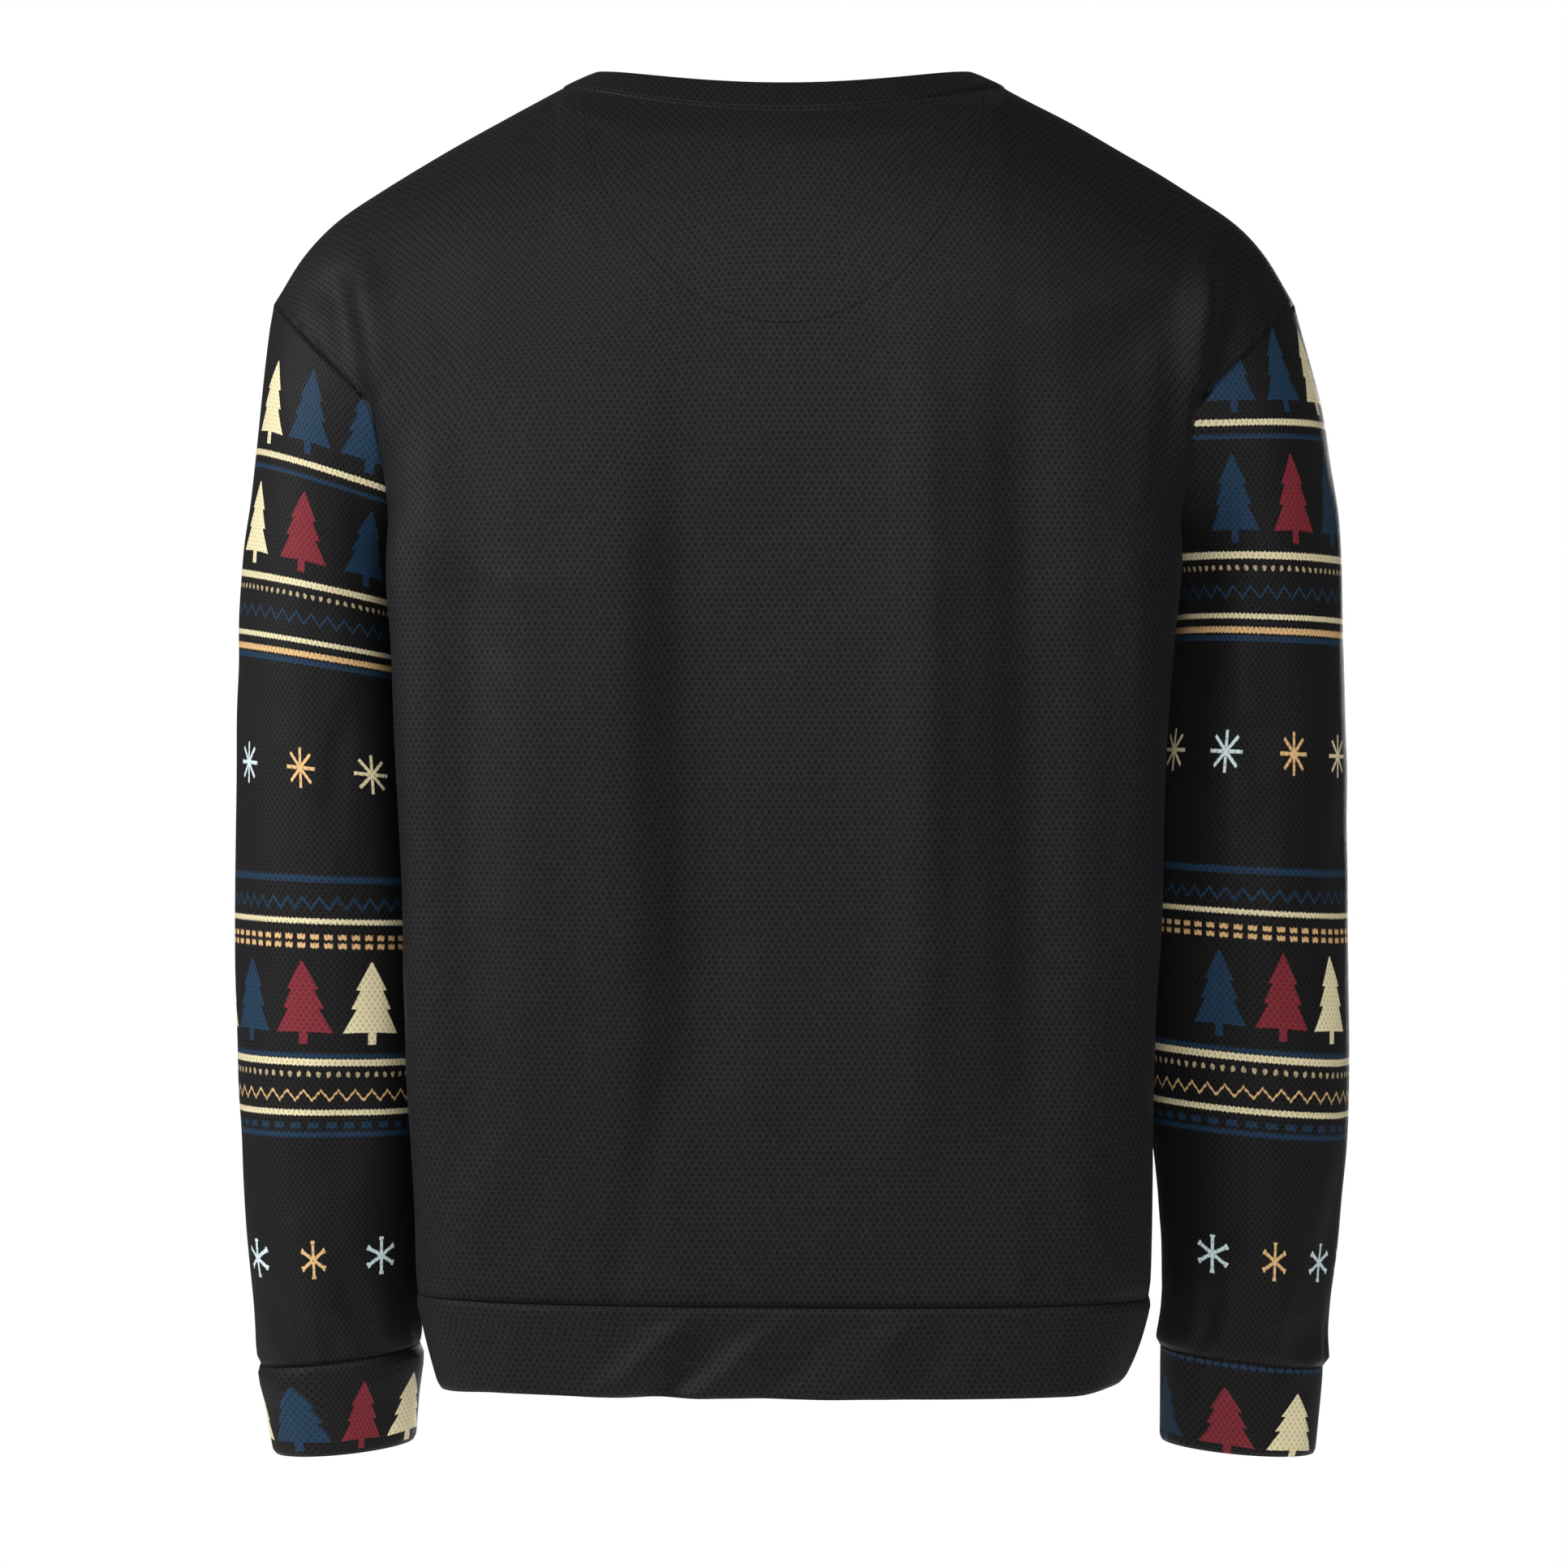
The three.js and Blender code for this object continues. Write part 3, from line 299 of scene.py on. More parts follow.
def smooth_line(stations, count):
    """count + 1 evenly spaced points on a Hermite curve through stations (its slopes by chord length)."""
    steps = np.r_[0, np.cumsum(length(np.diff(stations, axis=0))[:, 0])]
    curve = read_table({"at": steps, "x": stations[:, 0], "y": stations[:, 1], "z": stations[:, 2]}, "at",
                       np.linspace(0, steps[-1], 12 * len(stations)))
    return spread(points(curve["x"], curve["y"], curve["z"]), np.linspace(0, 1, count + 1))


def grid_normals(grid, closed):
    """Cross product of a grid's two directions, at every point."""
    across = np.gradient(grid, axis=1)
    if closed:
        across = np.roll(grid, -1, axis=1) - np.roll(grid, 1, axis=1)
    return unit(np.cross(across, np.gradient(grid, axis=0)))


def fold_height(rows, p, q):
    """Soft ridges and troughs: a bell across each fold, eased in and out along it."""
    height = np.zeros_like(p)
    for p0, q0, p1, q1, bow, reach, tall in zip(*rows.values()):
        span = math.hypot(p1 - p0, q1 - q0)
        along = ((p1 - p0) / span, (q1 - q0) / span)
        t = ((p - p0) * along[0] + (q - q0) * along[1]) / span
        inside = np.clip(t, 0, 1)
        sideways = (p - p0) * along[1] - (q - q0) * along[0] - bow * 4 * inside * (1 - inside)
        height += tall * np.exp(-((sideways / reach) ** 2)) * ease(t / 0.3) * ease((1 - t) / 0.3)
    return height


def soft_unevenness(p, q, phase):
    """Slow hand-like waves in the cloth, a fraction of a millimetre high."""
    waves = 0.35 * np.sin(p / 23 + 1.3 * np.sin(q / 61 + phase) + phase)
    waves += 0.30 * np.sin(q / 31 + 1.1 * np.sin(p / 47 + 2 * phase))
    return waves + 0.20 * np.sin((p + q) / 15 + 1.7 * np.sin(q / 37 + phase))


# ---------- body surface ----------
def power(value):
    """The superellipse's power of a sine or cosine."""
    return np.maximum(value, 0) ** (2 / SECTION_SQUARENESS)


def half_row(middle, corner, edge, turn_degrees):
    """From the middle round the corner to the side edge: part of a superellipse, then an ease in."""
    turn = math.radians(turn_degrees)
    angle = np.linspace(0, turn, 61)
    outward = power(np.sin(angle)) / power(math.sin(turn))
    flat = power(math.cos(turn))
    backward = (power(np.cos(angle)) - flat) / (1 - flat)
    arc = points(lerp(middle[0], corner[0], outward), lerp(corner[1], middle[1], backward), middle[2])
    t = np.arange(1, 31) / 30
    tail = points(lerp(corner[0], edge[0], ease(t)), lerp(corner[1], edge[1], t), middle[2])
    share = np.linspace(0, 1, HALF_COLUMNS + 1)
    row = spread(np.concatenate([arc, tail]), share + 0.3 * np.sin(np.pi * share) / np.pi)
    row[:, 2] = lerp(middle[2], edge[2], share**2)
    return row


def level_half_row(face, side, z):
    """A level section's half, from the middle to the side seam, turned by the row's twist.

    Near the underarm the seam runs to it: its share is exp((z - underarm z) / arch height).
    """
    section = read_table(TORSO, "z", z)
    is_back = face == "back"
    depth = section["back"] if is_back else -section["front"]
    corner_y = section["cornerY"] if is_back else -section["cornerY"]
    reach = section["halfWidth"] - (0 if is_back else section["frontTuck"])
    side_x = section["shift"] + side * (section["halfWidth"] - section["inset"])
    arch = math.exp((z - UNDERARM["z"]) / UNDERARM_ARCH_HEIGHT)
    middle = (section["shift"], depth, z)
    corner = (section["shift"] + side * reach, corner_y, z)
    edge = (lerp(side_x, side * UNDERARM["x"], arch), 0, z)
    row = half_row(middle, corner, edge, 90)
    turned = math.radians(section["twist"])
    x, y = row[:, 0].copy(), row[:, 1].copy()
    row[:, 0] = x * math.cos(turned) - y * math.sin(turned)
    row[:, 1] = x * math.sin(turned) + y * math.cos(turned)
    return row


def armhole_point(face, side, swing):
    """The armhole loop: two quarter ellipses, -90 under the arm, 0 at the crease, 90 at the tip."""
    s = np.sin(np.radians(swing))
    end_x = np.where(s > 0, SHOULDER_TIP["x"], UNDERARM["x"])
    end_z = np.where(s > 0, SHOULDER_TIP["z"], UNDERARM["z"])
    depth = ARM_CREASE["back"] if face == "back" else -ARM_CREASE["front"]
    x = lerp(ARM_CREASE["x"], end_x, np.abs(s))
    return points(side * x, depth * np.cos(np.radians(swing)), lerp(ARM_CREASE["z"], end_z, np.abs(s)))


def armhole_half_row(face, side, swing):
    """From the middle to the armhole, between the underarm (swing -90) and the crease (swing 0)."""
    edge = armhole_point(face, side, swing)
    share = 1 + math.sin(math.radians(swing))
    underarm = read_table(TORSO, "z", UNDERARM["z"])
    is_back = face == "back"
    reach = underarm["halfWidth"] - (0 if is_back else underarm["frontTuck"])
    corner_y = underarm["cornerY"] if is_back else -underarm["cornerY"]
    z = lerp(UNDERARM["z"], BLADE[face], share)
    section = read_table(TORSO, "z", z)
    depth = section["back"] if is_back else -section["front"]
    crease = armhole_point(face, side, 0)
    corner = (side * lerp(reach, ARM_CREASE["x"], share), lerp(corner_y, crease[1], share), z)
    return half_row((0, depth, z), corner, edge, lerp(90, BLADE["turn"], float(ease(share))))


def neck_point(line, face, side, turn):
    """A neck line: a half ellipse in plan that falls to its middle."""
    angle = np.radians(turn)
    cos = np.maximum(np.cos(angle), 0)
    depth = line["back"] if face == "back" else -line["front"]
    middle_z = line["backZ"] if face == "back" else line["frontZ"]
    fall = cos ** (2 if face == "back" else line["frontRound"])
    return points(side * line["halfWidth"] * np.sin(angle), depth * cos, lerp(line["sideZ"], middle_z, fall))


def top_half_row(face, side):
    """The top edge: the neck seam from its middle, then the shoulder ridge."""
    neck = neck_point(NECK_SEAM, face, side, np.linspace(0, 90, NECK_COLUMNS + 1))
    ridge = smooth_line(points(side * RIDGE["x"], 0, RIDGE["z"]), HALF_COLUMNS - NECK_COLUMNS)
    return np.concatenate([neck, ridge[1:]])


def shoulder_half_row(face, side, rise):
    """Between the shoulder blades (rise 0) and the top edge (rise 90), each column an ellipse."""
    low = armhole_half_row(face, side, 0)
    top = top_half_row(face, side)
    neck_share = np.minimum(np.arange(len(low)) / NECK_COLUMNS, 1)
    most = np.radians(lerp(NECK_TURN[face], 90, neck_share**2))
    angle = rise / 90 * most
    up = np.sin(angle) / np.sin(most)
    over = (np.cos(angle) - np.cos(most)) / (1 - np.cos(most))
    y = lerp(top[:, 1], low[:, 1], over)
    return points(lerp(low[:, 0], top[:, 0], up), y, lerp(low[:, 2], top[:, 2], up))


def face_grid(face):
    """Rows from the hem seam to the neck and shoulders, each from the right edge to the left.

    The bend at the armhole is then evened out: each row moves half way to its neighbours' mean.
    """
    rows = []

    def add(half):
        rows.append(np.concatenate([half(-1)[::-1], half(1)[1:]]))

    for j in range(LEVEL_ROWS + 1):
        z = lerp(HEM_SEAM_Z, UNDERARM["z"], 1 - (1 - j / LEVEL_ROWS) ** 1.5)
        add(lambda side: level_half_row(face, side, z))
    for j in range(1, ARMHOLE_ROWS + 1):
        add(lambda side: armhole_half_row(face, side, -90 + 90 * j / ARMHOLE_ROWS))
    for j in range(1, SHOULDER_ROWS + 1):
        add(lambda side: shoulder_half_row(face, side, 90 * j / SHOULDER_ROWS))
    grid = np.stack(rows)
    low, high = LEVEL_ROWS - 2 * DENSITY, len(grid) - 2 * DENSITY
    for _ in range(EVENING_PASSES):
        mean = (grid[low - 1:high - 1] + grid[low + 1:high + 1]) / 2
        grid[low:high, 1:-1] += 0.5 * (mean[:, 1:-1] - grid[low:high, 1:-1])
    return grid


def panel_normals(grid, face):
    """Normals of a panel's grid, turned to the back on the back and to the front on the front."""
    away = grid_normals(grid, False)
    return away * (1 if face == "back" else -1) * np.sign(away[LEVEL_ROWS, HALF_COLUMNS, 1])


def to_sides(grid):
    """Distance of each point from the nearer end of its row."""
    return np.minimum(length(grid - grid[:, :1]), length(grid - grid[:, -1:]))[..., 0]


def face_surface(face):
    """The panel's outer side with its folds: the CAD form, lifted along its normals."""
    name = f"{face}_panel"
    grid = face_grid(face)
    phase = 1 if face == "back" else -1
    to_side = to_sides(grid)
    to_end = np.minimum(grid[..., 2] - HEM_SEAM_Z, length(grid - grid[-1:])[..., 0])
    p, q = grid[..., 0], grid[..., 2]
    near = np.minimum(to_side, to_end)
    lift = ease(near / FOLD_FADE) * fold_height(FOLDS[name], p, q)
    creases = fold_height(CREASES[name], p, q) + soft_unevenness(p, q, phase)
    lift += ease(near / BODY_CREASE_FADE) * creases
    above = q - HEM_SEAM_Z
    gathered = ease(above / -HEM_GATHER_REACH + 1) * ease(above / 5)
    lift += ease(to_side / BODY_CREASE_FADE) * gathered * hem_gathers(p, phase)
    return grid + panel_normals(grid, face) * lift[..., None]


def hem_gathers(p, phase):
    """Small uneven gathers where the body is eased into its band: two waves of uneven pitch."""
    small = 0.45 * np.sin(p / 5.1 + 1.9 * np.sin(p / 17 + phase))
    return small + 0.35 * np.sin(p / 9.3 + 2.3 * np.sin(p / 29 - phase))


# ---------- sleeves and cuffs ----------
def ring_point(ring, side, face, swing):
    """A point of a ring from its outer and inner points."""
    wide = 1 if side < 0 else 0
    out = points(side * (ring["outX"] + wide * ring["splayOut"]), ring["y"], ring["outZ"])
    into = points(side * (ring["inX"] + wide * ring["splayIn"]), ring["y"], ring["inZ"])
    depth = ring["halfDepth"] if face == "back" else -ring["halfDepth"]
    result = lerp(into, out, (1 + math.sin(math.radians(swing))) / 2)
    result[..., 1] += depth * math.cos(math.radians(swing))
    return result


def sleeve_swings():
    """From the tip down the back to the underarm and up the front, on the panels' edge points."""
    low = [-90 + 90 * k / ARMHOLE_ROWS for k in range(ARMHOLE_ROWS)]
    up = low + [90 * k / SHOULDER_ROWS for k in range(SHOULDER_ROWS + 1)]
    return [("back", swing) for swing in up[:0:-1]] + [("front", swing) for swing in up[:-1]]


def outward(grid):
    """Normals of a ring grid, turned away from the middle of each ring."""
    normals = grid_normals(grid, True)
    away = grid - grid.mean(axis=1, keepdims=True)
    return normals * np.where((normals * away).sum(-1, keepdims=True) < 0, -1, 1)


def around_ring(grid):
    """Distance round each ring from its outer line: plus over the back, minus over the front."""
    steps = length(np.roll(grid, -1, axis=1) - grid)[..., 0]
    total = steps.sum(axis=1, keepdims=True)
    around = np.cumsum(steps, axis=1) - steps
    half = grid.shape[1] // 2
    return np.where(np.arange(grid.shape[1]) <= half, around, around - total), total


def sleeve_surface(side):
    """Smooth lines from the armhole through the rings, then folds, gathers and a swell at the cuff."""
    name = f"{WORDS[side]}_sleeve"
    columns = []
    for face, swing in sleeve_swings():
        armhole = armhole_point(face, side, swing)[None]
        stations = np.concatenate([armhole, ring_point(SLEEVE, side, face, swing)])
        columns.append(smooth_line(stations, SLEEVE_ROWS))
    grid = np.stack(columns, axis=1)
    normals = outward(grid)
    p, _ = around_ring(grid)
    q = grid[..., 2]
    to_end = np.minimum(length(grid - grid[:1]), length(grid - grid[-1:]))[..., 0]
    lift = ease(to_end / FOLD_FADE) * fold_height(FOLDS[name], p, q)
    creases = fold_height(CREASES[name], p, q) + soft_unevenness(p, q, 2 * side)
    lift += ease(to_end / SLEEVE_CREASE_FADE) * creases
    to_cuff = length(grid - grid[-1:])[..., 0]
    gather = 0.9 * np.sin(p / 4.1 + 1.8 * np.sin(p / 13 + side)) + 0.8 * np.sin(p / 7.2 + side)
    lift += gather * ease(to_cuff / 5) * ease(1 - to_cuff / CUFF_GATHER_REACH)
    lift += SLEEVE_SWELL[side] * ease(to_cuff / 3.5) * ease(1 - to_cuff / 22)
    return grid + normals * lift[..., None]


def cuff_surface(side):
    """A doubled band, a little proud at its seam, that narrows to a folded edge."""
    name = f"{WORDS[side]}_cuff"
    seam = {key: values[-1:] for key, values in SLEEVE.items()}
    share = np.append(CUFF_ROLL["share"][0], np.linspace(CUFF_ROLL["share"][1], 1, BAND_ROWS))[:, None]
    proud = np.interp(share, CUFF_ROLL["share"], CUFF_ROLL[WORDS[side]])
    middle = (ring_point(seam, side, "back", -90) + ring_point(seam, side, "back", 90)) / 2
    columns = []
    for face, swing in sleeve_swings():
        top = ring_point(seam, side, face, swing)
        edge = ring_point(CUFF_EDGE, side, face, swing)
        columns.append(lerp(top, edge, share) + unit(top - middle) * proud)
    grid = np.stack(columns, axis=1)
    p, _ = around_ring(grid)
    fade = ease(share / 0.12) * ease((1 - share) / 0.08 + 0.25)
    creases = fold_height(CREASES[name], p, grid[..., 2])
    lift = fade * (creases + 0.5 * soft_unevenness(p, grid[..., 2], side))
    return grid + outward(grid) * lift[..., None]


# ---------- hem band and neckband ----------
def hem_surface():
    """The doubled hem: level sections of the torso, standing proud of the seam.

    Its lower corners are drawn in, the right one also up, and the back of the left one down.
    """
    levels = np.append(HEM_SEAM_Z + 0.7, np.linspace(HEM_SEAM_Z - 0.3, HEM_EDGE_Z, BAND_ROWS))
    proud = np.interp(-levels, HEM_ROLL["down"], HEM_ROLL["proud"])
    rows = []
    for z in levels:
        quarters = [level_half_row("back", 1, z)[:-1], level_half_row("front", 1, z)[:0:-1],
                    level_half_row("front", -1, z)[:-1], level_half_row("back", -1, z)[:0:-1]]
        rows.append(np.concatenate(quarters))
    grid = np.stack(rows)
    normals = outward(grid)
    normals[..., 2] = 0
    normals = unit(normals)
    p = np.where(grid[..., 1] > 0, grid[..., 0], -grid[..., 0] + 25)
    q = grid[..., 2]
    share = np.clip((HEM_SEAM_Z - q) / (HEM_SEAM_Z - HEM_EDGE_Z), 0, 1)
    creases = fold_height(FOLDS["hem_band"], p, q) + fold_height(CREASES["hem_band"], p, q)
    lift = ease(share / 0.3) * creases
    lift += ease(share / 0.12) * 0.5 * soft_unevenness(p, q, 3)
    lift += 0.6 * ease(share / 0.1) * ease(1 - share / 0.6) * hem_gathers(p, 1)
    grid = grid + normals * (proud[:, None, None] + lift[..., None])
    right, left = (ease((side * grid[..., 0] - HEM_CORNER["x"]) / HEM_CORNER["reach"]) * share**2.2
                   for side in (-1, 1))
    grid[..., 0] += HEM_CORNER["rightX"] * right + HEM_CORNER["leftX"] * left
    rise = HEM_CORNER["leftUp"] * left * ease(grid[..., 1] / 40)
    grid[..., 2] += HEM_CORNER["rightUp"] * right + rise
    return grid


def neck_inward(face, side, turn):
    """The way into the garment, square to the neck seam and the neckband."""
    before = neck_point(NECK_SEAM, face, side, turn - 0.5)
    after = neck_point(NECK_SEAM, face, side, turn + 0.5)
    seam = neck_point(NECK_SEAM, face, side, turn)
    way = unit(np.cross(after - before, neck_point(NECK_EDGE, face, side, turn) - seam))
    to_middle = np.array([0, 0, -100]) - seam * (1, 1, 0)
    return way * np.where((way * to_middle).sum(-1, keepdims=True) < 0, -1, 1)


def neck_surface():
    """The doubled neckband: straight from the neck seam to the top edge, a little full between."""
    quarters = []
    turn = np.linspace(0, 90, NECK_COLUMNS + 1)
    for face, side, turns in (("back", 1, turn[:-1]), ("front", 1, turn[:0:-1]),
                              ("front", -1, turn[:-1]), ("back", -1, turn[:0:-1])):
        quarters.append((neck_point(NECK_SEAM, face, side, turns), neck_point(NECK_EDGE, face, side, turns),
                         neck_inward(face, side, np.minimum(turns, 89.5))))
    seam, edge, way = (np.concatenate(parts) for parts in zip(*quarters))
    share = np.append(NECK_ROLL["share"][0], np.linspace(NECK_ROLL["share"][1], 1, BAND_ROWS))
    proud = np.interp(share, NECK_ROLL["share"], NECK_ROLL["proud"])
    return lerp(seam, edge, share[:, None, None]) - way * proud[:, None, None]


# ---------- half-moon facing ----------
def sample(grid, row, column):
    """Points of a grid between its rows and columns, by halves of each way."""
    j = np.clip(np.floor(row).astype(int), 0, grid.shape[0] - 2)
    i = np.clip(np.floor(column).astype(int), 0, grid.shape[1] - 2)
    down, across = (row - j)[..., None], (column - i)[..., None]
    above = lerp(grid[j, i], grid[j, i + 1], across)
    return lerp(above, lerp(grid[j + 1, i], grid[j + 1, i + 1], across), down)


def half_moon_surface(outer, away):
    """A half ellipse below the neck seam, taken from the back panel's inner side and moved in."""
    inner = outer - away * (CLOTH_WALL + FACING_GAP)
    across = HALF_MOON["end"] * np.sin(np.radians(np.linspace(-90, 90, FACING_COLUMNS + 1)))
    x = HALF_MOON["halfWidth"] * across
    neck_z = lerp(NECK_SEAM["backZ"], NECK_SEAM["sideZ"], (x / NECK_SEAM["halfWidth"]) ** 2)
    share = np.linspace(1, 0, FACING_ROWS + 1)[:, None]
    z = neck_z - CLOTH_WALL - HALF_MOON["topClear"] - HALF_MOON["drop"] * np.sqrt(1 - across**2) * share
    x = np.broadcast_to(x, z.shape)
    column = np.full(z.shape, float(HALF_COLUMNS))
    row = np.full(z.shape, len(inner) - 2.0 * DENSITY)
    for _ in range(SEARCH_STEPS):
        here = sample(inner, row, column)
        step_x = (sample(inner, row, column + 1) - sample(inner, row, column - 1))[..., 0] / 2
        step_z = (sample(inner, row + 0.5, column) - sample(inner, row - 0.5, column))[..., 2]
        column = np.clip(column + 0.7 * (x - here[..., 0]) / step_x, 2, 2 * HALF_COLUMNS - 2)
        row = np.clip(row + 0.7 * (z - here[..., 2]) / step_z, 2, len(inner) - 1.6)
    return sample(inner, row, column), unit(sample(away, row, column))


# ---------- meshes ----------
def cumulative(grid, axis):
    """Distance travelled along the grid's rows (axis 1) or columns (axis 0)."""
    steps = length(np.diff(grid, axis=axis))[..., 0]
    start = np.zeros_like(np.take(steps, [0], axis=axis))
    return np.concatenate([start, np.cumsum(steps, axis=axis)], axis=axis)


def cloth(name, outer, away, wall, closed, uv, near, materials):
    """A thin shell: the outer grid, a copy moved in by the wall along its normals, and its rims.

    away holds the outward normals. uv holds the two distances in millimetres that the pattern
    follows, and the girth of each row, which is taken off past the middle of a ring. near holds the
    distances from the first row, the last row and the side edges.
    """
    rows, columns = outer.shape[:2]
    inner = outer - away * wall
    vertices = np.concatenate([outer.reshape(-1, 3), inner.reshape(-1, 3)]) / METRE
    spans = columns if closed else columns - 1
    j, i = np.meshgrid(np.arange(rows - 1), np.arange(spans), indexing="ij")
    j, i = j.ravel(), i.ravel()
    following = (i + 1) % columns
    corners = np.stack([j * columns + i, j * columns + following,
                        (j + 1) * columns + following, (j + 1) * columns + i], axis=1)
    a, b, c = (vertices[corners[:, k]] for k in range(3))
    facing = (np.cross(b - a, c - b) * away.reshape(-1, 3)[corners[:, 0]]).sum()
    order = slice(None) if facing > 0 else slice(None, None, -1)
    turned = slice(None, None, -1) if facing > 0 else slice(None)
    count = rows * columns
    corner_u = np.stack([i, i + 1, i + 1, i], axis=1)
    corner_j = np.stack([j, j, j + 1, j + 1], axis=1)
    past = (closed & (i >= columns // 2))[:, None]
    u = uv[0][corner_j, corner_u] - np.where(past, uv[2][corner_j, 0], 0)
    v = uv[1][corner_j, corner_u % columns]
    outside_uv = np.stack([u, v], axis=-1)
    faces = [corners[:, order], (corners + count)[:, turned]]
    face_uv = [outside_uv[:, order], outside_uv[:, turned]]
    edges = []
    for row, reverse in ((0, facing > 0), (rows - 1, facing <= 0)):
        k = np.arange(spans)
        line = np.stack([row * columns + k, row * columns + (k + 1) % columns], axis=1)
        edges.append((line, reverse))
    if not closed:
        k = np.arange(rows - 1)
        edges.append((np.stack([k * columns, (k + 1) * columns], axis=1), facing <= 0))
        edges.append((np.stack([(k + 1) * columns - 1, (k + 2) * columns - 1], axis=1), facing > 0))
    flat_uv = np.stack([uv[0][:, :columns].ravel(), uv[1].ravel()], axis=-1)
    for line, reverse in edges:
        rim = np.stack([line[:, 0], line[:, 1], line[:, 1] + count, line[:, 0] + count], axis=1)
        rim = rim[:, ::-1] if reverse else rim
        faces.append(rim)
        face_uv.append(flat_uv[rim % count])
    inside = np.concatenate([np.full(len(part), index == 1) for index, part in enumerate(faces)])
    faces = np.concatenate(faces)
    mesh = bpy.data.meshes.new(name)
    mesh.from_pydata(vertices.tolist(), [], faces.tolist())
    flat = np.concatenate(face_uv).reshape(-1).astype(np.float32)
    mesh.uv_layers.new(name="cloth").data.foreach_set("uv", flat)
    distances = mesh.attributes.new("near", "FLOAT_VECTOR", "POINT")
    both = np.concatenate([near.reshape(-1, 3), near.reshape(-1, 3)])
    distances.data.foreach_set("vector", both.reshape(-1).astype(np.float32))
    for material in materials:
        mesh.materials.append(material)
    mesh.polygons.foreach_set("material_index", inside.astype(np.int32))
    mesh.polygons.foreach_set("use_smooth", np.ones(len(faces), bool))
    mesh.update()
    piece = bpy.data.objects.new(name, mesh)
    bpy.context.scene.collection.objects.link(piece)
    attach(piece, "root")
    return piece


# ---------- materials ----------
def colour(code):
    """sRGB hex to the linear colour that a shader socket takes."""
    srgb = np.array([int(code[k:k + 2], 16) for k in (1, 3, 5)]) / 255
    linear = np.where(srgb <= 0.04045, srgb / 12.92, ((srgb + 0.055) / 1.055) ** 2.4)
    return (*linear.tolist(), 1.0)


# Gloss of the dry knit between its dots, and the roughness and sheen of knit and of fleece.
GLOSS = 0.19
KNIT = (0.62, 0.01)
FLEECE = (0.95, 0.02)


